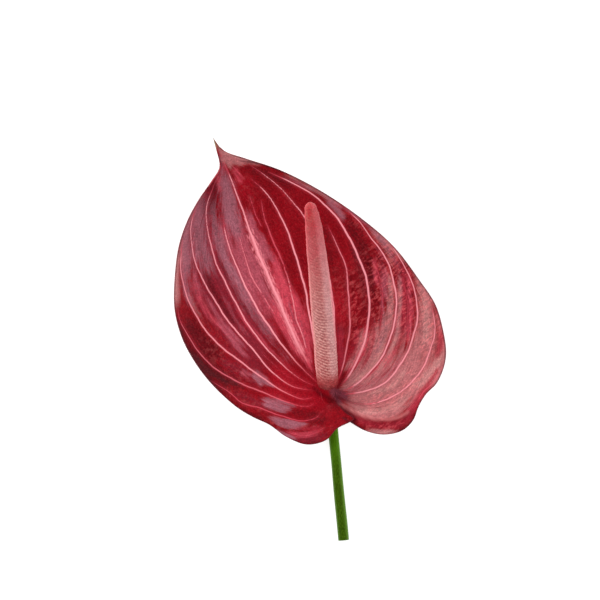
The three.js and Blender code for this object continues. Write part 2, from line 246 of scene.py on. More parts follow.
def frames_along(line, at):
    """centre, side, up and ahead at distances along the line, which runs on straight past its ends"""
    travelled = walked_along(line)
    clipped = np.clip(at, 0, travelled[-1])
    centre, ahead = (
        np.stack([np.interp(clipped, travelled, values[:, k]) for k in range(3)], 1)
        for values in (line, np.gradient(line, travelled, axis=0)))
    ahead /= np.linalg.norm(ahead, axis=1)[:, None]
    centre = centre + ahead * (at - clipped)[:, None]
    side = np.array([[1.0, 0, 0]]) - ahead * ahead[:, :1]
    side /= np.linalg.norm(side, axis=1)[:, None]
    return centre, side, np.cross(side, ahead), ahead


stalk, spine = (smooth_curve(line, LINE_POINTS) for line in (STEM_LINE, SPADIX_LINE))
stalk_length, spine_length = (walked_along(line)[-1] for line in (stalk, spine))
print("length in mm of the stem", round(stalk_length, 1), "and of the spike's line", round(spine_length, 1))

# %% [markdown]
# The veins make this flower. Strong ones leave the junction, swing out and turn towards the tip; thinner
# ones run between them and fade. Each is a line seen from above with a half width in millimetres and a
# strength. They are used twice: as real grooves in the mesh, and as a distance that the colour reads. A
# drawn line is too clean, so each is pushed sideways by a tenth of a millimetre, now one way and now the
# other.

# %% Veins: half width, strength, and points from the tip end to the junction
VEINS = {
    "midrib": (0.40, 1.0, [
        (-34.2, 71.0), (-28.0, 54.6), (-21.2, 35.8), (-14.8, 21.0), (-9.6, 8.6), (-5.2, -1.4), (-2.4, -6.6),
        (0.6, -12.0)]),
    "left_1": (0.34, 1.0, [
        (-34.9, 49.4), (-34.0, 43.0), (-32.4, 37.0), (-27.6, 25.0), (-22.4, 14.6), (-16.0, 4.6),
        (-8.0, -6.2), (-1.2, -13.4), (4.6, -18.8)]),
    "left_1_fine": (0.25, 0.8, [(-28.8, 43.0), (-24.0, 26.6), (-18.8, 17.4), (-13.6, 9.4)]),
    "left_2": (0.29, 0.92, [
        (-37.6, 63.8), (-41.2, 53.0), (-41.4, 47.8), (-38.0, 31.8), (-32.8, 20.6), (-25.2, 6.6),
        (-17.6, -3.4), (-9.6, -11.4), (-3.2, -16.2), (4.4, -19.6)]),
    "left_3": (0.30, 0.92, [
        (-44.6, 55.2), (-47.0, 48.0), (-47.6, 41.8), (-45.6, 30.2), (-40.8, 20.2), (-31.6, 5.8),
        (-24.4, -2.2), (-15.2, -13.0), (-8.0, -18.2), (-2.8, -19.8), (4.2, -20.6)]),
    "left_4": (0.31, 0.85, [
        (-50.8, 40.8), (-51.5, 34.0), (-51.6, 27.8), (-49.6, 18.6), (-45.2, 9.0), (-38.4, -0.2),
        (-29.2, -7.8), (-21.6, -13.4), (-13.6, -19.0), (-6.8, -22.6), (-2.4, -23.8), (4.2, -22.2)]),
    "left_5": (0.27, 0.75, [
        (-52.8, 12.6), (-52.0, 7.8), (-47.6, -0.2), (-42.8, -7.0), (-35.2, -13.4), (-26.0, -18.2),
        (-16.0, -22.2), (-8.0, -25.4), (-0.8, -26.6), (4.3, -24.0)]),
    "left_6": (0.24, 0.68, [
        (-40.0, -16.2), (-32.4, -21.0), (-26.8, -25.4), (-19.2, -27.6), (-11.2, -30.6), (-3.2, -32.4),
        (2.8, -31.0), (6.4, -26.6)]),
    "right_0_fine": (0.3, 0.7, [
        (-19.6, 56.2), (-18.2, 48.6), (-15.6, 41.4), (-12.6, 34.6), (-9.4, 26.4), (-8.2, 21.6)]),
    "right_0_low": (0.26, 0.84, [
        (-10.8, 30.0), (-9.4, 26.4), (-7.4, 18.4), (-5.6, 8.8), (-3.2, 2.2), (-1.2, -5.0)]),
    "right_0_thin": (0.22, 0.6, [(-24.2, 58.0), (-22.6, 52.2), (-19.4, 45.0)]),
    "right_0_side": (0.22, 0.6, [(-12.6, 33.6), (-11.9, 25.4), (-10.9, 16.6), (-8.6, 8.4)]),
    "right_1": (0.36, 0.95, [
        (-24.0, 64.6), (-17.6, 58.6), (-12.4, 50.6), (-8.4, 41.8), (-5.2, 31.8), (-2.0, 20.6), (-0.4, 11.0),
        (2.0, -2.2), (5.4, -17.4)]),
    "right_2": (0.28, 0.86, [
        (-24.8, 70.2), (-18.4, 65.8), (-12.8, 61.4), (-7.6, 55.8), (-2.8, 49.8), (3.2, 37.8), (7.4, 25.8),
        (9.2, 15.8), (9.9, -0.2), (8.4, -17.2)]),
    "right_3": (0.3, 0.8, [
        (6.8, 46.2), (10.4, 38.6), (14.4, 29.0), (15.4, 17.8), (16.0, 5.8), (14.0, -7.0), (11.6, -15.4),
        (9.4, -18.6)]),
    "right_4": (0.38, 0.98, [
        (-16.8, 67.0), (-8.0, 63.0), (0.0, 58.6), (6.4, 53.4), (12.0, 47.0), (17.6, 37.0), (22.4, 25.0),
        (23.8, 13.8), (22.0, -0.2), (18.4, -9.4), (14.0, -16.6), (10.2, -19.8)]),
    "right_5_fine": (0.17, 0.5, [(25.6, 33.8), (28.0, 23.8), (29.2, 17.8), (28.4, 7.8), (28.0, 3.0)]),
    "right_6": (0.32, 0.92, [
        (12.6, 54.6), (16.2, 50.6), (20.0, 47.0), (24.4, 40.6), (28.4, 35.8), (32.4, 27.4), (34.6, 13.8),
        (32.8, 3.0), (29.2, -6.2), (23.2, -13.8), (16.0, -19.4), (10.5, -21.0)]),
    "right_7": (0.30, 0.88, [
        (30.0, 41.8), (35.6, 33.0), (40.4, 23.8), (43.0, 11.4), (41.2, 1.0), (36.8, -9.0), (29.2, -17.8),
        (20.0, -21.0), (10.5, -22.2)]),
    "right_7_fine": (0.16, 0.4, [(37.2, 25.8), (39.2, 11.8), (38.8, 5.8)]),
    "right_8": (0.28, 0.85, [
        (48.4, 14.6), (49.8, 4.6), (48.0, -4.2), (42.8, -14.6), (34.4, -22.0), (28.0, -24.8),
        (22.0, -26.0)]),
    "right_8_low": (0.14, 0.45, [(27.0, -25.0), (19.0, -25.6), (12.0, -24.2)]),
    "right_9": (0.22, 0.6, [(53.6, -9.0), (50.4, -15.4), (45.2, -21.0), (43.2, -24.2)]),
    "left_3_fine": (0.15, 0.45, [(-45.5, 17.5), (-41.5, 11.6), (-36.6, 5.4), (-32.0, 0.6)]),
    "left_0_fine": (0.16, 0.5, [(-19.6, 19.0), (-15.4, 11.0), (-11.0, 3.6), (-7.0, -3.0)]),
    "left_2_fine": (0.14, 0.4, [(-23.0, -0.5), (-17.6, -7.0), (-12.0, -12.4), (-7.6, -15.8)]),
}
VEIN_STEPS = 320
WANDER_WAVES = ((13, 0.10), (5.2, 0.04), (2.3, 0.02))


def wander(line, seed):
    """the line, pushed sideways by waves of the given lengths and reaches, but not at its two ends"""
    chance = np.random.default_rng(seed)
    walked = walked_along(line)
    ahead = np.gradient(line, axis=0)
    aside = np.stack([-ahead[:, 1], ahead[:, 0]], 1) / np.linalg.norm(ahead, axis=1)[:, None]
    push = sum(
        reach * np.sin(2 * np.pi * walked / length + chance.uniform(0, 6.3))
        for length, reach in WANDER_WAVES)
    return line + aside * (push * np.sin(np.pi * np.linspace(0, 1, len(line))))[:, None]


def tree_of(places):
    """a tree that finds the nearest of these places, seen from above"""
    tree = kdtree.KDTree(len(places))
    for number, (x, y) in enumerate(places):
        tree.insert((x, y, 0), number)
    tree.balance()
    return tree


vein_points, vein_next, vein_half, vein_power = [], [], [], []
share = np.linspace(0, 1, VEIN_STEPS)
for seed, (name, (half_width, strength, points)) in enumerate(VEINS.items()):
    line = wander(smooth_curve(points, VEIN_STEPS)[:, :2], seed)
    vein_points.append(line)
    vein_next.append(np.vstack([line[1:], line[-1:]]))
    taper = 0.4 if name.startswith("left") else 0.1
    widening = 0.55 + 0.45 * smoothstep(0, 0.5, share)
    vein_half.append(half_width * widening * (1 - taper * smoothstep(0.62, 1, share)))
    from_junction = np.linalg.norm(line - np.array(RING_MIDDLE), axis=1)
    fade = smoothstep(-0.03, 0.1, share) * smoothstep(1.02, 0.94, share)
    vein_power.append(strength * fade * smoothstep(3.6, 12.0, from_junction))
vein_points, vein_next = np.vstack(vein_points), np.vstack(vein_next)
vein_half, vein_power = np.concatenate(vein_half), np.concatenate(vein_power)
vein_tree = tree_of(vein_points)
print("veins", len(VEINS), "in", len(vein_points), "steps")


# %% How far each place is from the nearest vein
def nearest_vein(x, y):
    """distance in millimetres, half width and strength of the vein nearest to each place"""
    found = np.array([vein_tree.find((a, b, 0))[1] for a, b in zip(x, y)])
    place = np.stack([x, y], 1)
    best = np.full(len(x), 1e9)
    for shift in (0, -1):
        k = np.clip(found + shift, 0, len(vein_points) - 1)
        start, step = vein_points[k], vein_next[k] - vein_points[k]
        t = np.clip(((place - start) * step).sum(1) / np.maximum((step**2).sum(1), 1e-9), 0, 1)
        best = np.minimum(best, np.linalg.norm(start + step * t[:, None] - place, axis=1))
    return best, vein_half[found], vein_power[found]


belly_gap = nearest_vein(*np.array([[-32.0], [25.0]]))[0]
print("from the left belly to the nearest vein, in mm", round(belly_gap[0], 2))

# %% [markdown]
# The fine blade is laid out as the solid was: rows from the ring to the tip, each with its own number of
# columns, joined by triangles that zip two rows together. The columns crowd together beside a vein, where
# the groove needs them, and stand apart on the smooth skin between. The under face has the same triangles a
# blade's thickness below. The collar is a few more rows, bent from the ring past a waist on the stem to a
# rim under the spike. Waist and rim are each a distance, from the end of the stem or the start of the
# spike, and a radius. A row near the junction has at least 44 columns, so that the collar stays round, and
# a row near the tip at least three. The left lobe takes up the last seventh of a row, and it ends about a
# sixth of the way to the tip.

# %% Places on the blade and its collar
ROWS = 270
COLLAR_ROWS = 12
LOBE_LIFT = 1.45
STEM_RADIUS = 2.2
COLLAR_LAYER = 0.35
COLLAR_WAIST = (-2.6, STEM_RADIUS + 0.7)
COLLAR_RIM = (-2.7, 3.9)
RIM_LAYER = 0.4
LEFT_LOBE = (0.86, 0.99)
LOBE_END = (0.1, 0.17)
ROUNDNESS_FADE = 10
LAST_GUIDE = len(GUIDES) - 1


def ring_point(angle):
    a = np.radians(angle)
    return np.stack([np.cos(a), np.sin(a)], -1) * RING_REACH + RING_MIDDLE


guide_angle = np.array([angle for _, angle, _ in GUIDES], float)
guide_start = ring_point(guide_angle)
guide_path = np.stack([
    smooth_curve([tuple(start), *line, TIP], ROWS + 1)[:, :2]
    for start, (_, _, line) in zip(guide_start, GUIDES)])


def plan_of_row(row, across):
    """places in the row, seen from above, for shares across from the right edge to the left edge"""
    k = np.clip((across * LAST_GUIDE).astype(int), 0, LAST_GUIDE - 1)
    t = (across * LAST_GUIDE - k)[:, None]
    place = guide_path[k, row] * (1 - t) + guide_path[k + 1, row] * t
    on_ring = ring_point(guide_angle[k] * (1 - t[:, 0]) + guide_angle[k + 1] * t[:, 0])
    chord = guide_start[k] * (1 - t) + guide_start[k + 1] * t
    return place + (on_ring - chord) * (1 - row / ROWS) ** ROUNDNESS_FADE


def on_left_lobe(across):
    return smoothstep(*LEFT_LOBE, across)


def sheet_height(xy, across, along):
    """the left lobe is lifted, because it lies on top of the right one"""
    return sheet(xy[:, 0], xy[:, 1]) + LOBE_LIFT * on_left_lobe(across) * (1 - smoothstep(*LOBE_END, along))


def collar_place(share, across):
    """places on the collar: share 0 is the ring, share 1 is the rim under the spike"""
    ring = plan_of_row(0, across)
    start = np.c_[ring, sheet_height(ring, across, 0.0)]
    layer = COLLAR_LAYER * on_left_lobe(across)[:, None]
    turned = np.radians(np.interp(across * LAST_GUIDE, np.arange(LAST_GUIDE + 1), guide_angle))[:, None]

    def round_line(line, at, radius):
        centre, side, rise, _ = frames_along(line, np.full(len(across), at))
        return centre + (side * np.cos(turned) - rise * np.sin(turned)) * radius

    middle = round_line(stalk, stalk_length + COLLAR_WAIST[0], COLLAR_WAIST[1] + layer)
    top = round_line(spine, COLLAR_RIM[0], COLLAR_RIM[1] + RIM_LAYER * layer)
    return start * (1 - share) ** 2 + middle * 2 * share * (1 - share) + top * share**2


print("rows on the collar", COLLAR_ROWS, "and on the blade", ROWS)

# %% Rows and columns of the blade
COLUMN_STEP = 0.66
CROWDING = 1.6
CROWDING_REACH = 1.2
NEAR_JUNCTION = 0.12
LEAST_COLUMNS = (44, 3)
ROW_SAMPLES = 241

dense = np.linspace(0, 1, ROW_SAMPLES)
row_across = []
for row in range(ROWS):
    xy = plan_of_row(row, dense)
    z = sheet_height(xy, dense, row / ROWS)
    crowd = 1 + CROWDING * bell(nearest_vein(*xy.T)[0], CROWDING_REACH)
    steps = np.linalg.norm(np.diff(np.c_[xy, z], axis=0), axis=1)
    least = LEAST_COLUMNS[0] if row < NEAR_JUNCTION * ROWS else LEAST_COLUMNS[1]
    columns = max(least, int(round(steps.sum() / COLUMN_STEP)))
    walked = np.r_[0, np.cumsum(steps * (crowd[1:] + crowd[:-1]) / 2)]
    row_across.append(np.interp(np.linspace(0, walked[-1], columns + 1), walked, dense))
row_across.append(np.array([0.5]))
open_plan = np.vstack([plan_of_row(row, a) for row, a in enumerate(row_across)])
open_across = np.concatenate(row_across)
open_along = np.concatenate([np.full(len(a), row / ROWS) for row, a in enumerate(row_across)])
ring_across = row_across[0]
collar_shares = np.arange(COLLAR_ROWS, 0, -1) / COLLAR_ROWS
smooth_face = np.vstack([
    *(collar_place(share, ring_across) for share in collar_shares),
    np.c_[open_plan, sheet_height(open_plan, open_across, open_along)]])
plan = smooth_face[:, :2]
collar_all = np.r_[np.repeat(collar_shares, len(ring_across)), np.zeros(len(open_plan))]
row_across = [ring_across] * COLLAR_ROWS + row_across
across_all = np.concatenate(row_across)
along_all = np.r_[np.zeros(COLLAR_ROWS * len(ring_across)), open_along]
row_first = np.r_[0, np.cumsum([len(a) for a in row_across])]
print("blade: rows", len(row_across), "places on one face", len(plan))


# %% Zip the rows together
def zip_rows(a_first, a, b_first, b):
    """triangles between two rows, always on the side that lags behind"""
    faces, i, j = [], 0, 0
    while i < len(a) - 1 or j < len(b) - 1:
        step_a = (a[i] + a[i + 1]) / 2 if i < len(a) - 1 else 2
        step_b = (b[j] + b[j + 1]) / 2 if j < len(b) - 1 else 2
        if step_a <= step_b:
            faces.append((b_first + j, a_first + i + 1, a_first + i))
            i += 1
        else:
            faces.append((b_first + j, b_first + j + 1, a_first + i))
            j += 1
    return faces


face_triangles = []
last_row = len(row_across) - 1
for row in range(last_row):
    a, b = row_across[row].tolist(), row_across[row + 1].tolist()
    face_triangles += zip_rows(row_first[row], a, row_first[row + 1], b)
face_triangles = np.array(face_triangles)
edge_loop = list(range(1, row_first[1] - 1))
edge_loop += [row_first[row + 1] - 1 for row in range(last_row)]
edge_loop += [row_first[row] for row in range(last_row, -1, -1)]
print("blade: triangles on one face", len(face_triangles), "edge points", len(edge_loop))

# %% [markdown]
# Some lines on the blade aren't veins: the crease where the spike leaves it and the cleft beside the left
# lobe's edge, both sunk a little and darkened with painted shade, and the long fold of the right lobe,
# raised on its crest and sunk below it, with a painted highlight on the crest and painted shade, dark red,
# below.
# They are curves too, each with a width and a strength, and the distance to them is measured with its side,
# so one side can differ from the other.

# %% Creases and the fold of the right lobe
DARK_CREASES = [
    (0.8, 0.7, [(1.8, -19.6), (4.2, -21.8), (7.2, -23.4), (10.2, -25.6)]),
    (0.6, 0.6, [(9.6, -22.4), (12.8, -23.8), (16.8, -25.2), (21, -25.9)]),
    (0.5, 0.45, [(12.6, -26.4), (16.6, -27.6), (21.4, -27.9)]),
    (0.6, 0.6, [(11.2, -19.2), (12.6, -16.4), (13.2, -13.2)]),
    (0.9, 0.75, [(10.8, -26.2), (12.8, -28.0), (15.6, -29.9), (18.4, -32.2)]),
]
FOLD_LINE = [
    (11.2, -26), (14, -26.9), (17.2, -28.5), (20.4, -30.1), (25.2, -31.5), (30.4, -31.7), (35.4, -31),
    (39, -29)]
CREST_WIDTH = 0.6
FOLD_WIDTH = 2.3


def line_gap(points, x, y, steps=90):
    """distance to the smooth line through the points, 1 on its left and -1 on its right, how far along it"""
    line = smooth_curve(points, steps)[:, :2]
    best, side, share = np.full(len(x), 1e9), np.ones(len(x)), np.zeros(len(x))
    for number, (a, b) in enumerate(zip(line[:-1], line[1:])):
        step = b - a
        px, py = x - a[0], y - a[1]
        t = np.clip((px * step[0] + py * step[1]) / (step @ step), 0, 1)
        dx, dy = px - t * step[0], py - t * step[1]
        gap = np.hypot(dx, dy)
        side = np.where(gap < best, np.sign(step[0] * dy - step[1] * dx), side)
        share = np.where(gap < best, (number + t) / (steps - 1), share)
        best = np.minimum(best, gap)
    return best, side, share


on_right_lobe = across_all < 0.5
crease = np.zeros(len(plan))
for number, (width, strength, points) in enumerate(DARK_CREASES):
    found = strength * bell(line_gap(points, *plan.T)[0], width)
    crease = np.maximum(crease, found if number == 0 else found * on_right_lobe)
fold_gap, fold_side, _ = line_gap(FOLD_LINE, *plan.T)
fold_crest = bell(fold_gap, CREST_WIDTH) * on_right_lobe
fold_below = bell(fold_gap, FOLD_WIDTH) * on_right_lobe * smoothstep(0.1, -0.3, fold_gap * fold_side)
print("creases", len(DARK_CREASES), "places on them", int((crease > 0.5).sum()))

# %% [markdown]
# On the real blade the strong veins are sunk, and the skin between two of them swells like a quilt and lies
# flat again at the edge. A slow unevenness lies over that, made of a few dozen soft waves. All of it is a
# few tenths of a millimetre, which is enough for the gloss to break up along the veins as it does on the
# flower.

# %% Relief of the blade
GROOVE_DEPTH = 0.26
QUILT_HEIGHT = 0.30
QUILT_REACH = 2.2
FLAT_EDGE = 3.0
UNEVENNESS = 0.07
WAVES = 26
CREASE_DEPTH = 0.22
CREST_HEIGHT = 0.25
FOLD_DEPTH = 0.2

vein_gap, half_here, power_here = nearest_vein(*plan.T)
margin = [k for k in edge_loop if along_all[k] > 0.02 and (across_all[k] < 0.01 or across_all[k] > 0.99)]
margin_tree = tree_of(plan[margin])
edge_gap = np.array([margin_tree.find((x, y, 0))[2] for x, y in plan])

random = np.random.default_rng(11)
waves = random.normal(size=(WAVES, 2))
waves = waves / np.linalg.norm(waves, axis=1)[:, None] * random.uniform(0.25, 0.9, WAVES)[:, None]
phases = random.uniform(0, 2 * np.pi, WAVES)
slow_waves = sum(np.sin(plan @ w + p) for w, p in zip(waves, phases)) / WAVES**0.5

groove = -GROOVE_DEPTH * power_here * bell(vein_gap, 1.5 * half_here + 0.15)
quilt = QUILT_HEIGHT * (1 - bell(vein_gap, QUILT_REACH))
relief = (groove + quilt + UNEVENNESS * slow_waves) * smoothstep(0.0, FLAT_EDGE, edge_gap)
relief = relief * smoothstep(0.0, 0.05, along_all) * (1 - smoothstep(0.93, 1.0, along_all))
relief = relief - CREASE_DEPTH * crease + CREST_HEIGHT * fold_crest - FOLD_DEPTH * fold_below
print("relief in mm, lowest and highest", round(relief.min(), 2), round(relief.max(), 2))

# %% [markdown]
# The relief is pushed out along the upright direction of each place. The under face follows it only a
# little, and the blade thins towards its edge and up its collar. A rim of triangles joins the two faces
# into one closed skin.

# %% The two faces and the rim
BLADE_THICKNESS = 0.75
EDGE_THINNING = 0.3
THIN_EDGE = 2.5
COLLAR_THINNING = 0.75
RELIEF_BELOW = 0.25


def upright(vertices, triangles):
    """the upright direction at each point, from the triangles round it"""
    a, b, c = (vertices[triangles[:, k]] for k in range(3))
    normal = np.cross(b - a, c - a)
    total = np.zeros_like(vertices)
    for k in range(3):
        np.add.at(total, triangles[:, k], normal)
    return total / np.maximum(np.linalg.norm(total, axis=1), 1e-12)[:, None]


up = upright(smooth_face, face_triangles)
upper = smooth_face + up * relief[:, None]
thickness = BLADE_THICKNESS * (1 - EDGE_THINNING * (1 - smoothstep(0.0, THIN_EDGE, edge_gap)))
thickness = thickness * (1 - COLLAR_THINNING * collar_all)
lower = smooth_face + up * (RELIEF_BELOW * relief - thickness)[:, None]
lower[:, 2] = np.maximum(lower[:, 2], 0.0)
count = len(upper)
rim = []
for a, b in zip(edge_loop, edge_loop[1:] + edge_loop[:1]):
    rim += [(a, a + count, b), (b, a + count, b + count)]
blade_faces = np.vstack([face_triangles, face_triangles[:, ::-1] + count, np.array(rim)])
print("blade: triangles", len(blade_faces))
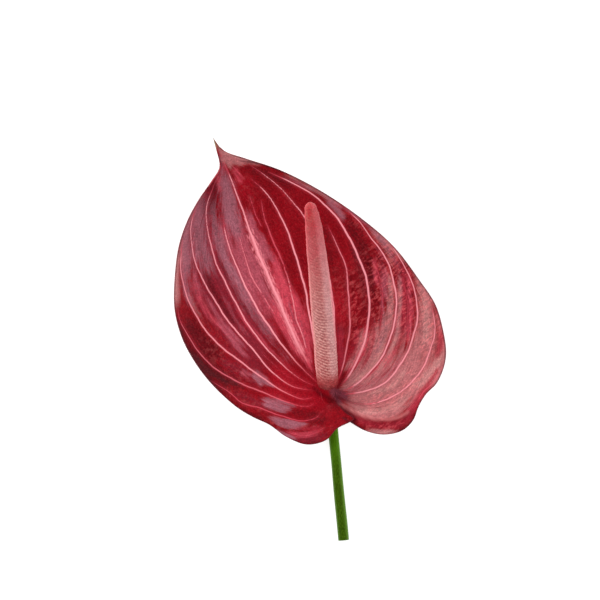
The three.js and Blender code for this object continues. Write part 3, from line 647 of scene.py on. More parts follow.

# %% [markdown]
# The red of the blade isn't even. There is rose beside the midrib and a dusty pink on the right lobe. Over
# these lies painted sheen: mauve and orchid veils where the skin is tilted, more sheen in the dusty pink,
# and pale painted highlights on the right lobe and along some edges. Painted shade lies there too: the
# almost black wine red low on the left and along the turned-down margins, partly the blade's own dark wine
# red, and the dark in the hollow at the junction. Most of them run in bands between two veins. A painter
# would lay them down as soft strokes, one paint after the other, and so does this: each stroke has a half
# width, a strength and a few points.

# %% Soft strokes of paint over the blade
STROKES = {
    "plum": [
        (7, 0.9, [(-50, 34), (-44, 20), (-34, 7), (-20, -8), (-6, -15)]),
        (6, 0.8, [(-42, 40), (-34, 22), (-24, 8), (-12, -8)]),
        (6, 0.9, [(-37, 72), (-42, 50), (-41, 34), (-34, 16)]),
        (3, 0.8, [(-18, -36), (-6, -40), (10, -37)]), (3, 0.7, [(-40, -6), (-28, -13), (-16, -19)]),
        (2.2, 0.6, [(-34, -19), (-24, -24), (-10, -29)]), (4, 0.7, [(30, 40), (37, 26), (38, 6), (34, -8)]),
        (3, 0.6, [(44, -20), (41, -28), (34, -35)]), (2, 0.7, [(12, 12), (12, -4), (11.6, -16)]),
    ],
    "bright": [
        (8, 1.0, [(-20, -14), (-6, -20), (3, -23), (10, -27)]), (4, 0.7, [(-29, 69), (-24, 54)]),
        (3.0, 0.8, [(12.4, 24), (12.6, 2)]), (2.2, 0.6, [(19, 22), (19.6, 6)]),
        (4.0, 0.5, [(-22, -9), (-8, -15), (2, -18)]), (2.0, 0.6, [(-20, -20.4), (-10, -23), (2, -24)]),
    ],
    # dark wine red, partly the blade's own colour and partly painted shade on the low left and turned-down
    # margins
    "dark": [
        (2.6, 1.0, [(-54, 16), (-51.8, 2), (-46.8, -7), (-41.4, -14.6), (-34, -21.6), (-28, -27)]),
        (2.8, 1.0, [(-50, 0), (-42, -9), (-34, -15), (-24, -20)]),
        (3.2, 1.0, [(-52, 12), (-46, 3), (-40, -4), (-32, -9)]),
        (1.9, 0.8, [(-45.6, 35), (-41, 23), (-34, 12), (-24, -1)]),
        (1.5, 0.8, [(-39.6, 42), (-34.6, 29), (-28, 16), (-18, 2)]),
        (1.9, 0.9, [(-46.4, 57), (-42.6, 53), (-41.4, 48)]),
        (1.9, 0.9, [(-36.4, 66), (-39.2, 57), (-39.4, 46)]),
        (1.4, 0.6, [(-46.6, 48), (-44.6, 40), (-42, 31)]), (2.4, 0.7, [(-30, 70), (-16, 65.6), (-2, 58)]),
        (3.2, 0.75, [(10, 56), (20, 39), (24.4, 26), (25.8, 10)]),
        (1.6, 0.6, [(14, 44), (20, 29), (21.6, 8)]), (3.0, 0.5, [(3, 52), (8, 34), (10, 20)]),
        (1.4, 0.5, [(27, 41), (31, 36), (34, 28)]), (1.3, 1.0, [(12.4, -30), (18, -34.4), (27, -39)]),
        (1.2, 1.0, [(31, -39), (40.4, -33.6), (43.6, -25)]),
        (1.2, 1.0, [(-18, -36), (-10, -40), (-1, -42.4), (8, -39.6)]), (2.4, 0.6, [(-3, -33), (8, -32)]),
        (1.4, 0.9, [(-40, -19), (-30, -27), (-20, -32), (-12, -37)]), (3.0, 0.5, [(6, -23), (14, -28)]),
        (1.8, 0.6, [(-10, -28.6), (6, -30)]), (1.6, 0.7, [(-37.6, 74), (-36.6, 70)]),
    ],
    "rose": [
        (3.4, 1.0, [(-18, 34), (-9.2, 14), (-3.4, 0), (1, -12)]),
        (2.6, 0.75, [(-8, 22), (-2.6, 5), (1, -10)]),
        (1.9, 0.9, [(-20, 24), (-10.8, 6), (-5, -4), (1, -14)]),
        (2.0, 0.9, [(-17.6, 39), (-13, 28), (-8, 16), (-4, 4)]),
        (1.4, 0.8, [(-7, 14), (-3.6, 2), (0.4, -12), (2, -17)]),
        (1.6, 0.6, [(-49, 30), (-43, 14), (-33, 1)]),
        (1.4, 0.5, [(-34, 20), (-26, 7), (-14, -6), (-4, -15)]),
        (1.1, 0.5, [(-18, -36.4), (-8, -38.4), (6, -38)]),
        (0.9, 0.6, [(-12, -36.4), (-2, -37.6), (8, -35)]), (1.8, 1.0, [(23, 8), (20.4, -5), (13.4, -15.6)]),
        (1.6, 0.7, [(-31, 71), (-27, 61)]), (1.4, 0.7, [(-37, 68), (-35.4, 57)]),
        (1.1, 0.5, [(-38, 78), (-34.6, 72), (-33, 64)]),
        (1.2, 0.8, [(39, 34), (39.8, 18), (40.2, 8), (37.6, -8)]),
        (1.6, 0.8, [(50.6, 18), (53, 4), (52.6, -10)]),
        (2.2, 0.9, [(9, -21), (17, -18.4), (28, -12), (37, 2)]),
        (1.4, 0.7, [(44, -19), (41.6, -26), (37, -31)]), (1.2, 0.6, [(25.6, 36), (26.4, 26), (27, 18)]),
    ],
    # painted sheen: orchid veils on the tilted left half beside the midrib
    "orchid": [
        (8, 0.7, [(-38, 62), (-32, 40), (-24, 22), (-14, 2)]), (4, 0.5, [(-50, 46), (-48, 30), (-42, 14)]),
        (1.5, 1.0, [(-26, 55), (-22.6, 45), (-19, 35), (-15, 27)]),
        (1.2, 0.8, [(-21.4, 46), (-17.4, 36), (-13, 28)]),
        (2.6, 1.0, [(-32, 58), (-27.4, 39), (-22, 27), (-13, 8)]),
        (1.7, 0.9, [(-31, 40), (-23, 21), (-13, 4)]), (1.1, 0.9, [(-30, 26), (-21, 11), (-9, -5)]),
        (0.9, 0.8, [(-36, 6), (-29, -3.4), (-22, -9.6)]),
        (1.3, 0.7, [(-44, 22), (-38, 11), (-30, 1), (-22, -8)]),
        (0.8, 0.6, [(-40, 10), (-32, 1), (-24, -6)]), (0.9, 0.5, [(-38, 22), (-30, 8), (-22, -2)]),
        (1.6, 0.7, [(10, -22), (24, -18), (34, -11), (39, 0)]), (1.4, 0.9, [(-37, 75), (-34.6, 64)]),
        (1.3, 0.5, [(-21, 7), (-12.6, -4), (-4, -12.4)]), (0.5, 0.8, [(-10, 20), (-6.6, 9), (-2.4, -3)]),
        (0.4, 0.7, [(-5.6, 17), (-3.2, 5), (-0.2, -8)]), (1.5, 0.8, [(36.2, 32), (36.4, 14), (33, -5)]),
        (1.0, 0.7, [(30, 30), (31, 14)]), (2.2, 0.5, [(22, -23), (40, -11)]),
        (1.9, 0.46, [(23.6, 42.4), (28.4, 33), (29.8, 20), (26.6, 2)]),
        (1.6, 0.62, [(26, 43.4), (32.6, 34.6), (36.4, 26)]), (1.4, 0.7, [(-29, -12.4), (-22, -15)]),
    ],
    # dusty pink of the right lobe and margins, partly its own colour and partly painted sheen
    "dusty": [
        (7, 0.75, [(47, 18), (45, -6), (36, -18), (12, -26)]),
        (1.2, 1.0, [(-38, 78), (-34, 74), (-28, 72.4), (-16, 69)]),
        (1.5, 0.9, [(-37, 79), (-33.4, 72.6), (-31, 66)]),
        (1.5, 1.0, [(-38, 72), (-31, 71.4), (-24, 69.6)]), (1.9, 1.0, [(-50.4, 44), (-53.8, 26), (-53, 8)]),
        (1.3, 0.7, [(-47.6, 49), (-50.4, 38), (-50.4, 26)]), (1.2, 0.5, [(-50.4, 21), (-46, 12), (-42, 6)]),
        (1.1, 1.0, [(-40, 63), (-46, 53.4), (-51.4, 40)]),
        (2.8, 1.0, [(41.4, 31), (46.2, 15), (46.4, 2), (42, -11)]),
        (3.0, 1.0, [(45, 4), (38.4, -12), (29, -19.8), (9, -24)]),
        (3.2, 1.0, [(49.6, -6), (41, -19), (32, -25), (9, -25.4)]),
        (3.0, 1.0, [(54.8, 0), (51.4, -11.6), (43, -21)]),
        (2.3, 1.0, [(42, -23), (32, -29.4), (22, -29.6), (11, -26.4)]),
        (2.4, 1.0, [(31.6, 18), (29.4, 0), (23.6, -10), (10, -21)]),
        (1.6, 1.0, [(26.6, 12), (25, -3), (20.4, -12), (10, -20.6)]),
        (1.5, 0.9, [(31.6, 30), (32.4, 14), (30.6, -2)]),
        (1.1, 0.9, [(35.8, 32), (35.8, 10), (33.4, -2), (25, -13.4)]),
        (1.3, 0.9, [(32, -8), (26, -14.4), (18, -18), (8, -21)]),
        (1.1, 1.0, [(18, -36.6), (28.6, -37.6), (38, -36.6)]),
        (0.9, 0.9, [(22, -36), (28.6, -36.4), (34.6, -36)]), (1.3, 0.9, [(36, 36), (44, 24.4), (50, 12)]),
        (0.8, 1.0, [(-10, 66.6), (8, 58), (24, 46.4), (42, 28)]),
        (1.0, 0.7, [(-6, 64), (4, 58.6), (14, 52)]), (0.9, 0.9, [(22, 46.4), (31, 38.6), (40, 28)]),
        (1.5, 0.5, [(22, 46), (30, 37), (34.6, 26)]), (1.2, 0.9, [(21.6, 8), (19.4, -3), (12, -15)]),
        (1.7, 0.7, [(28, 8), (24.6, -6), (17, -15)]), (1.6, 0.6, [(37, 9), (34.6, -6), (23.6, -17.4)]),
        (1.2, 0.8, [(51, 16), (53.2, 4), (53.4, -8)]),
    ],
    # painted highlights on the right lobe, the tip fold and the edges that face the light
    "light": [
        (1.8, 0.9, [(53.4, 0), (50.6, -9.6), (45.6, -16), (38, -21)]),
        (1.6, 0.8, [(42, -20), (34, -26.4), (24, -29), (13, -27)]),
        (1.4, 0.7, [(44.4, 22), (46.6, 8), (44.6, -8)]),
        (1.0, 0.8, [(31, 5), (27, -8), (20, -15.4), (12, -20)]),
        (0.8, 0.7, [(23.6, 6), (20.4, -5), (15, -13.6)]), (0.9, 0.6, [(35.6, 6), (32, -6), (24, -16)]),
        (1.0, 0.7, [(41, -8), (33, -18.6), (20, -22.6)]), (0.7, 1.0, [(-38, 77), (-31, 73.6), (-20, 70.8)]),
        (0.9, 0.8, [(-14, 67.6), (0, 62.2), (14, 53.6)]), (0.9, 0.8, [(-52.4, 40), (-54, 25), (-54, 9)]),
        (0.8, 0.8, [(22, -36.6), (28, -37.4), (34, -36.8)]), (0.8, 0.6, [(30, 42), (38, 32.6), (46, 21)]),
    ],
    # painted sheen: mauve veils where the tilted skin reflects the light
    "mauve": [
        (5, 0.7, [(-42, 64), (-46, 44), (-42, 22)]), (3.2, 1.0, [(-35, 71), (-33, 58), (-30.6, 40)]),
        (2.2, 0.9, [(-33.4, 62), (-31, 50), (-27.6, 36)]),
        (1.7, 0.9, [(-36.6, 52), (-35.4, 38), (-30.4, 26), (-22, 11)]),
        (2.3, 0.5, [(-31, 28), (-22.6, 11), (-10, -5)]), (1.5, 0.7, [(-50.6, 36), (-50, 22), (-46, 9)]),
        (1.9, 0.75, [(-44.6, 58), (-44.6, 43), (-41, 31), (-36, 22)]),
        (1.2, 0.8, [(-38.6, 60), (-38.2, 44), (-35, 33), (-29, 21)]),
        (1.9, 0.9, [(-48.6, 53), (-50, 38), (-48, 22)]),
        (1.2, 1.0, [(-24.6, -11.6), (-20.4, -14.6), (-15, -19.6)]),
        (1.0, 1.0, [(-24, -13.6), (-21, -16.4), (-18.4, -19.6)]),
        (0.7, 0.9, [(-20, -14), (-16.6, -17), (-13.4, -20.2)]),
        (1.2, 1.0, [(-21, -22.8), (-14, -25.6), (-5, -29)]),
        (1.1, 1.0, [(-20.6, -25), (-14, -27.4), (-8, -29.4)]),
        (0.6, 0.9, [(-16, -22.8), (-9, -25.6), (-3.6, -27.4)]),
        (1.1, 1.0, [(-19, -30), (-10, -33), (0, -35)]),
        (0.8, 1.0, [(-16, -32.6), (-9, -34.8), (-2, -35.6)]),
        (0.7, 0.9, [(-12, -31.4), (-4, -33.6), (1, -33.6)]),
        (0.9, 1.0, [(-17, -34.8), (-11, -37.6), (-4, -40.6)]),
        (1.2, 0.45, [(-16, 67.4), (-3, 61.8), (8, 56.4), (16, 49.6)]),
        (1.6, 0.8, [(5, 57), (10.8, 52), (14.6, 46)]), (0.8, 0.6, [(10, 55.6), (22, 46.6), (34, 35.6)]),
        (2.4, 0.3, [(28, 20), (30, 4), (22, -12)]), (0.8, 0.5, [(24, 44), (30, 38), (34, 32)]),
    ],
    "crimson": [
        (2.0, 0.55, [(-25, 26), (-18, 12), (-9, -5)]), (0.9, 1.0, [(37, 34), (37.8, 16), (36.4, 2)]),
        (1.2, 0.7, [(37.8, 16), (36.4, 0), (31, -11)]), (0.8, 0.5, [(39.4, 32), (41.8, 10)]),
        (1.5, 1.0, [(52.8, 6), (52, -3), (49.4, -10)]),
        (1.4, 0.9, [(49.6, -14.6), (44, -23), (41, -28.4), (36, -33)]),
        (0.9, 0.8, [(52.6, -9.4), (45, -21)]), (1.7, 1.0, [(13.4, -29), (25, -33.6), (33, -34), (42, -31)]),
        (1.0, 0.8, [(16.6, -16), (21.8, -9), (25, -1), (25.8, 14)]),
        (1.4, 0.8, [(12.6, 8), (12.2, -6), (11.6, -16)]), (1.7, 0.8, [(19.4, 8), (17.8, -3), (13.6, -12)]),
        (0.7, 0.6, [(-10.0, 26), (-5.8, 8), (-1.2, -8)]), (0.6, 0.6, [(-13.0, 27), (-9.4, 13), (-5.0, 1)]),
        (0.8, 0.5, [(-5.4, 20), (-3.0, 6), (0.6, -10)]), (1.5, 0.7, [(-9, -36), (7, -35.4)]),
        (1.2, 0.7, [(33, -35), (42, -30)]),
    ],
    # painted shade in the hollow at the junction beside the spike's foot
    "hollow": [
        (1.6, 1.0, [(6, -18.8), (11, -21.2), (17, -24.6)]),
        (1.2, 0.8, [(7.6, -20), (10.8, -23.6), (13, -27.4)]),
    ],
    "shade": [
        (0.5, 0.8, [(-33, 71.6), (-24, 70.8), (-13, 68.2), (-3, 63.8)]),
        (1.2, 0.42, [(-45.6, 50), (-44.4, 38), (-40.6, 27)]),
        (1.1, 0.42, [(-38.4, 60), (-38.2, 46), (-34.0, 31)]),
        (1.0, 0.4, [(-49.4, 36), (-47.4, 24), (-43, 13)]),
        (0.9, 0.4, [(-31.6, 60), (-30.0, 50), (-26.6, 38)]), (0.8, 0.4, [(-28, 21), (-20, 7), (-11, -4)]),
        (1.3, 1.0, [(-54.6, 14), (-52, 1), (-46.4, -8.6), (-40, -17), (-32, -25)]),
        (1.6, 0.9, [(-48, -4), (-43, -10.4), (-37, -16)]),
        (1.5, 0.8, [(-43, -11), (-35, -16), (-24, -20.2)]),
    ],
}
WRINKLED = [
    (7.5, 0.9, [(23, 47), (27, 34), (28, 14), (22, -14)]),
    (6, 1.0, [(24, 50), (34, 34), (38, 16), (36, -8)]), (3.0, 0.8, [(44, 30), (46.4, 8), (43, -12)]),
    (2.6, 0.8, [(16, 34), (18.6, 8), (17, -10)]), (3.4, 0.8, [(16, -34), (28, -34.6), (42, -31)]),
    (7.0, 0.7, [(50, -6), (38, -19), (16, -28)]), (3.0, 0.3, [(10, 34), (12.6, 16), (12, 0)]),
    (2.0, 0.4, [(6, 58), (18, 47), (28, 39)]), (4.0, 0.9, [(48, 16), (49, 2), (47, -10)]),
]
FLECKED = [
    (4.0, 1.0, [(-46, 4), (-36, -7), (-26, -14), (-16, -20)]),
    (2.4, 1.0, [(-38, -17), (-27, -24), (-12, -29)]), (1.8, 0.8, [(-24, -29), (-10, -35), (8, -35)]),
    (5.0, 0.7, [(-53, 26), (-46, 14), (-36, 4), (-24, -8)]), (3.0, 0.6, [(-47, 56), (-49, 40), (-46, 24)]),
    (2.6, 0.8, [(-34, 72), (-26, 62), (-22, 50)]), (2.4, 0.6, [(8, 30), (12, 18), (12, 4)]),
    (4.0, 0.6, [(-4, -34), (4, -37), (10, -34)]),
]
STROKE_STEPS = 20


def brushed(strokes):
    """how much of each place the strokes cover; each one fades and narrows towards its two ends"""
    bare = np.ones(len(plan))
    for half, strength, points in strokes:
        low, high = np.min(points, 0) - 2 * half - 1, np.max(points, 0) + 2 * half + 1
        near = ((plan > low) & (plan < high)).all(1)
        gap, _, share = line_gap(points, *plan[near].T, STROKE_STEPS)
        fade = smoothstep(0, 0.3, share) * smoothstep(1, 0.7, share)
        bare[near] *= 1 - strength * fade * bell(gap / half, 0.55 + 0.45 * fade)
    return 1 - bare


face_values = {name + "_paint": brushed(strokes) for name, strokes in STROKES.items()}
print("strokes, mean cover", {name: round(float(cover.mean()), 2) for name, cover in face_values.items()})


# %% The blade as a piece
def make_piece(name, vertices_mm, faces, values):
    """a mesh from points and faces, which carries the named values at its points"""
    mesh = bpy.data.meshes.new(name)
    mesh.from_pydata((np.asarray(vertices_mm) * MM).tolist(), [], [list(map(int, f)) for f in faces])
    mesh.update()
    mesh.shade_smooth()
    for key, value in values.items():
        layer = mesh.attributes.new(key, "FLOAT", "POINT")
        layer.data.foreach_set("value", np.asarray(value, np.float32))
    return put_in_scene(name, mesh)


# a pale band along the lower midrib, partly its own colour and partly painted sheen
band_reach = smoothstep(60, 36, plan[:, 1]) * smoothstep(-14, -2, plan[:, 1])
midrib_band = bell(line_gap(VEINS["midrib"][2], *plan.T)[0], 1.9) * band_reach
face_values.update(
    wrinkled=brushed(WRINKLED), flecked=brushed(FLECKED), vein_gap=vein_gap, vein_half=half_here,
    vein_power=power_here, edge_gap=edge_gap, along=along_all, across=across_all, crease=crease,
    fold_crest=fold_crest, fold_below=fold_below, midrib_band=midrib_band,
    from_junction=np.linalg.norm(plan - np.array(RING_MIDDLE), axis=1))
blade_values = {name: np.tile(value, 2) for name, value in face_values.items()}
blade_values["under"] = np.r_[np.zeros(count), np.ones(count)]
spathe = make_piece("spathe_blade", np.vstack([upper, lower]), blade_faces, blade_values)
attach(spathe, "root")
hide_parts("spathe")
print("blade: values at each point", len(blade_values))

# %% [markdown]
# The spike is built as one closed skin with a fine grid, because its florets grow out of one body. They
# stand in rows round it, each row moved half a floret against the row below, like bricks. For every place
# on the skin the two nearest floret middles are looked up: where both are equally near there is a seam, and
# at a middle there is a crown. The girth is a list of radii at shares of the length; foot and tip add
# distances before and past the line's ends. Each floret has a number of its own, counted on by seventeen
# from row to row, and its small moves come from it.

# %% Spike: girth and the rings of the grid
SPADIX_GIRTH = [
    (0, 4.25), (0.12, 4.45), (0.35, 4.4), (0.55, 4.2), (0.72, 3.85), (0.86, 3.4), (0.94, 2.95), (1, 2.3),
]
SPIKE_FOOT = [(-4.1, 0.0), (-4.0, 2.2), (-3.6, 3.3), (-2.7, 4.0), (-1.4, 4.3)]
SPIKE_TIP = [(1.0, 1.86), (1.7, 1.05), (1.95, 0.5), (2.0, 0.0)]
BODY_STEPS = 300
AROUND = 150
ALONG = 640


def eased_value(table, share):
    keys, values = np.array(table, float).T
    k = np.clip(np.searchsorted(keys, share) - 1, 0, len(keys) - 2)
    t = smoothstep(0, 1, (share - keys[k]) / (keys[k + 1] - keys[k]))
    return values[k] * (1 - t) + values[k + 1] * t


share_body = np.linspace(0, 1, BODY_STEPS)
body = np.c_[share_body * spine_length, eased_value(SPADIX_GIRTH, share_body)]
outline = np.vstack([SPIKE_FOOT, body, np.array(SPIKE_TIP) + (spine_length, 0.0)])
walked = walked_along(outline)
ring_walk = np.linspace(0, walked[-1], ALONG + 1)[1:-1]
ring_at, ring_girth = (np.interp(ring_walk, walked, column) for column in outline.T)
spike_share = (ring_walk / walked[-1])[:, None]
print("spike: length in mm", round(outline[-1, 0] - outline[0, 0], 1), "rings", len(ring_at))

# %% Spike: the nearest florets of each place
FLORETS_AROUND = 15
FLORET_ROWS = 68
FLORET_WIDTH = 1.8
ROW_STEP = 1.2
ROW_NUMBERS = 17
SIDEWAYS_WEIGHT = 0.62
WOBBLE = 0.10
ROW_TILT = 1.1
ROW_BOW = 0.45
MOVE_ASIDE = 0.7
MOVE_ALONG = 0.5


def chance_of(number, salt):
    """the same number gives the same chance between 0 and 1 every time"""
    value = np.sin(12.9898 * number + salt) * 43758.5453
    return value - np.floor(value)


turn = np.arange(AROUND) / AROUND
angle = 2 * np.pi * turn
to_right = np.cos(angle)
sideways = np.sin(2 * np.pi * (3 * turn + 0.31 * FLORET_ROWS * spike_share))
count_around = FLORETS_AROUND * turn + WOBBLE * sideways
count_along = FLORET_ROWS * spike_share + ROW_TILT * to_right - ROW_BOW * to_right**2
count_along = count_along + WOBBLE * np.sin(2 * angle + 40 * spike_share)
found = []
for step in (-1, 0, 1, 2):
    floret_row = np.floor(count_along) + step
    moved = count_around - 0.5 * (floret_row % 2)
    nearest = np.round(moved)
    for other in (0, 1, -1):
        number = (nearest + other) % FLORETS_AROUND + ROW_NUMBERS * floret_row
        aside = (moved - nearest - other) * FLORET_WIDTH + MOVE_ASIDE * (chance_of(number, 1.7) - 0.5)
        lean = (count_along - floret_row) * ROW_STEP + MOVE_ALONG * (chance_of(number, 4.1) - 0.5)
        found.append((np.hypot(aside * SIDEWAYS_WEIGHT, lean), number, lean, aside))
found = np.array(found)
order = np.argsort(found[:, 0], axis=0)
nearest_gap, number, lean, aside = (np.take_along_axis(found[:, k], order[:1], 0)[0] for k in range(4))
second_gap = np.take_along_axis(found[:, 0], order[1:2], 0)[0]
print("florets", FLORETS_AROUND * FLORET_ROWS)

# %% Spike: height of the florets
FLORET_HEIGHT = 0.2
BODY_INSET = 0.12
LEAST_RADIUS = 0.05
SEAM_WIDTH = 0.42
SLIT_BELOW = 0.34
SLIT_WIDTH = 0.3
SLIT_DEPTH = 0.6
LEAN_RISE = 0.16

dome = smoothstep(0.0, SEAM_WIDTH, second_gap - nearest_gap)
each = chance_of(number, 0.0)
slit = bell(lean + SLIT_BELOW, SLIT_WIDTH) * (1 - smoothstep(0.12, 0.55, np.abs(aside)))
slit = slit * (0.35 + 0.65 * each)
floret = dome * (0.7 + 0.5 * each) + LEAN_RISE * lean / ROW_STEP - SLIT_DEPTH * slit
calm = smoothstep(0.0, 0.02, spike_share) * (1 - 0.75 * smoothstep(0.955, 0.985, spike_share))
spike_radius = np.maximum(ring_girth[:, None] - BODY_INSET + FLORET_HEIGHT * floret * calm, LEAST_RADIUS)
print("floret height in mm", [round(FLORET_HEIGHT * h, 2) for h in (floret.min(), floret.max())])


# %% The skin of the spike
def swept_skin(line, at, radius, angle):
    """centres, directions ahead and rings of points round the line at these distances along it"""
    centre, side, rise, ahead = frames_along(line, at)
    turned = side[:, None] * np.cos(angle)[None, :, None] + rise[:, None] * np.sin(angle)[None, :, None]
    return centre, ahead, centre[:, None] + radius[..., None] * turned


def tube_faces(rings, around):
    """four-sided faces between the rings and a fan at each end; the last two points are the two poles"""
    ring, step = np.meshgrid(np.arange(rings - 1), np.arange(around), indexing="ij")
    here, beside = ring * around + step, ring * around + (step + 1) % around
    faces = np.stack([here, here + around, beside + around, beside], -1).reshape(-1, 4).tolist()
    last_ring, pole = (rings - 1) * around, rings * around
    faces += [[s, (s + 1) % around, pole] for s in range(around)]
    faces += [[last_ring + (s + 1) % around, last_ring + s, pole + 1] for s in range(around)]
    return faces


def with_poles(grid, low=0.0, high=0.0):
    """the values of the grid ring by ring, and then those of the two poles"""
    return np.r_[np.broadcast_to(grid, (len(ring_at), AROUND)).reshape(-1), low, high]


skin = swept_skin(spine, ring_at, spike_radius, angle)[2].reshape(-1, 3)
poles = frames_along(spine, outline[[0, -1], 0])[0]
spike_values = {
    "dome": with_poles(1 - (1 - dome) * calm, 1, 1), "each": with_poles(each, 0.5, 0.5),
    "share": with_poles(spike_share, 0, 1), "lean": with_poles(lean), "slit": with_poles(slit),
    "calm": with_poles(calm), "side": with_poles(to_right),
}
spadix = make_piece("spadix_spike", np.vstack([skin, poles]), tube_faces(len(ring_at), AROUND), spike_values)
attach(spadix, "root")
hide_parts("spadix")
print("spike: faces", len(spadix.data.polygons))

# %% [markdown]
# The stem is a firm round stalk. It lies on the table, bends up under the lobes and goes through the blade
# to the spike. Real ones have faint ridges along them and are never quite round. Its lower end is a clean
# cut: a pale disc with a darker skin round it and the dots of the vessels.

# %% Stem: ridges and slight swellings
STEM_AROUND = 96
STEM_RINGS = 260
WAIST_SHARE = 0.05
RIDGE_ROOM = 0.06

stem_at = np.linspace(0, stalk_length, STEM_RINGS + 1)
share = (stem_at / stalk_length)[:, None]
angle = 2 * np.pi * np.arange(STEM_AROUND) / STEM_AROUND
ridges = 0.035 * np.sin(11 * angle + 1.1 * np.sin(3.0 * share)) + 0.02 * np.sin(23 * angle + 4 * share)
swell = 0.04 * np.sin(2 * angle + 9 * share) + 0.03 * np.sin(17 * share + angle)
radius = STEM_RADIUS * (1 - WAIST_SHARE * np.sin(np.pi * share)) - RIDGE_ROOM + ridges + swell
centre, ahead, stem_skin = swept_skin(stalk, stem_at, radius, angle)
stem_skin[..., 2] = np.maximum(stem_skin[..., 2], 0.0)
print("stem: thickness in mm", round(2 * radius.min(), 2), "to", round(2 * radius.max(), 2))

# %% Stem: rings that close its two ends
CUT_STEPS = [(0.2, 0.03), (0.45, 0.05), (0.72, 0.10), (0.9, 0.13), (0.97, 0.10)]
TOP_STEPS = [(0.85, -0.12), (0.55, -0.25), (0.25, -0.36)]
CUT_POLE = 0.02
TOP_POLE = 0.4


def cap_rings(rim_points, middle_point, outward, steps):
    """rings that close a tube; each step is a share of the radius and a push outward"""
    return [middle_point + outward * push + (rim_points - middle_point) * part for part, push in steps]


cut_rings = cap_rings(stem_skin[0], centre[0], -ahead[0], CUT_STEPS)
top_rings = cap_rings(stem_skin[-1], centre[-1], ahead[-1], TOP_STEPS)
all_rings = np.array([*cut_rings, *stem_skin, *top_rings])
stem_vertices = np.vstack([
    all_rings.reshape(-1, 3), centre[0] - ahead[0] * CUT_POLE, centre[-1] - ahead[-1] * TOP_POLE])
caps = (len(CUT_STEPS), len(TOP_STEPS))
ring_share = np.pad(share[:, 0], caps, constant_values=(0, 1))
ring_cut = np.pad(np.zeros(STEM_RINGS + 1), caps, constant_values=(1, 0))
ring_part = np.r_[[part for part, _ in CUT_STEPS], np.ones(STEM_RINGS + 1), [part for part, _ in TOP_STEPS]]
stem_values = {
    "share": np.r_[np.repeat(ring_share, STEM_AROUND), 0, 1],
    "cut": np.r_[np.repeat(ring_cut, STEM_AROUND), 1, 0],
    "turn": np.r_[np.tile(np.arange(STEM_AROUND) / STEM_AROUND, len(all_rings)), 0, 0],
    "from_core": np.r_[np.repeat(ring_part, STEM_AROUND), 0, 0],
}
stem = make_piece("stem_stalk", stem_vertices, tube_faces(len(all_rings), STEM_AROUND), stem_values)
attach(stem, "root")
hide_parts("stem")
print("stem: faces", len(stem.data.polygons))

# %% [markdown]
# Two effects come back in the finishes of all three pieces, so each is built once as a node group. One
# gives cloudy mottling, a mask that drifts between two tones. The other gives the grain of plant skin, a
# height for the bump: a fine pebbling of cells with a slower unevenness under it. A finish is a long chain
# of small nodes, so short words for the ones that come back often are set down first.

# %% Short words for nodes
class Nodes:
    """one node tree; every input takes another node's output or a plain value"""

    def __init__(self, tree):
        self.tree = tree

    def add(self, kind, **settings):
        node = self.tree.nodes.new(kind)
        for key, value in settings.items():
            setattr(node, key, value)
        return node

    def put(self, socket, value):
        if isinstance(value, bpy.types.NodeSocket):
            self.tree.links.new(value, socket)
        else:
            socket.default_value = value

    def fill(self, node, **values):
        """fills inputs by name, with _ for a space in the name"""
        for name, value in values.items():
            self.put(node.inputs[name.replace("_", " ")], value)
        return node

    def maths(self, operation, *values, clamp=False):
        node = self.add("ShaderNodeMath", operation=operation, use_clamp=clamp)
        for socket, value in zip(node.inputs, values):
            self.put(socket, value)
        return node.outputs[0]

    def times(self, first, *others, clamp=False):
        for value in others:
            first = self.maths("MULTIPLY", first, value, clamp=clamp)
        return first

    def times_plus(self, value, factor, extra, clamp=False):
        return self.maths("MULTIPLY_ADD", value, factor, extra, clamp=clamp)

    def ramp(self, value, low, high):
        """0 at low, 1 at high, soft between and level outside"""
        node = self.add("ShaderNodeMapRange", interpolation_type="SMOOTHSTEP")
        return self.fill(node, Value=value, From_Min=low, From_Max=high, To_Min=0.0, To_Max=1.0).outputs[0]

    def rest_of(self, share):
        return self.maths("SUBTRACT", 1.0, share)

    def mix(self, share, first, second):
        """the first colour where the share is 0, the second where it is 1"""
        node = self.fill(self.add("ShaderNodeMix", data_type="RGBA"), Factor=share)
        for name, value in (("A", first), ("B", second)):
            socket = [s for s in node.inputs if s.name == name and s.type == "RGBA"][0]
            self.put(socket, value if isinstance(value, bpy.types.NodeSocket) else (*value, 1.0))
        return [s for s in node.outputs if s.type == "RGBA"][0]

    def paint(self, tone, paint, mask, most=None):
        """paint laid over a tone where the mask says, and never more of it than the given share"""
        return self.mix(mask if most is None else self.times(mask, most), tone, paint)

    def darken(self, tone, factor):
        node = self.add("ShaderNodeVectorMath", operation="SCALE")
        self.put(node.inputs[0], tone)
        return self.fill(node, Scale=factor).outputs[0]

    def value(self, name):
        """a value that the mesh carries at every point"""
        return self.add("ShaderNodeAttribute", attribute_name=name).outputs["Fac"]

    def noise(self, place, **settings):
        return self.fill(self.add("ShaderNodeTexNoise"), Vector=place, **settings).outputs["Fac"]

    def group(self, group, **values):
        return self.fill(self.add("ShaderNodeGroup", node_tree=group), **values).outputs[0]

    def bump(self, shader, height, strength, distance):
        node = self.fill(self.add("ShaderNodeBump"), Height=height, Strength=strength, Distance=distance)
        self.put(shader.inputs["Normal"], node.outputs["Normal"])


print("words", [word for word in dir(Nodes) if not word.startswith("_")])


# %% Colours, and the start of a group or a finish
def colour(red, green, blue):
    """a colour as seen on a screen, turned into the linear light that shaders use"""
    levels = (level / 255 for level in (red, green, blue))
    return tuple(((s + 0.055) / 1.055) ** 2.4 if s > 10 / 255 else s / 12.92 for s in levels)


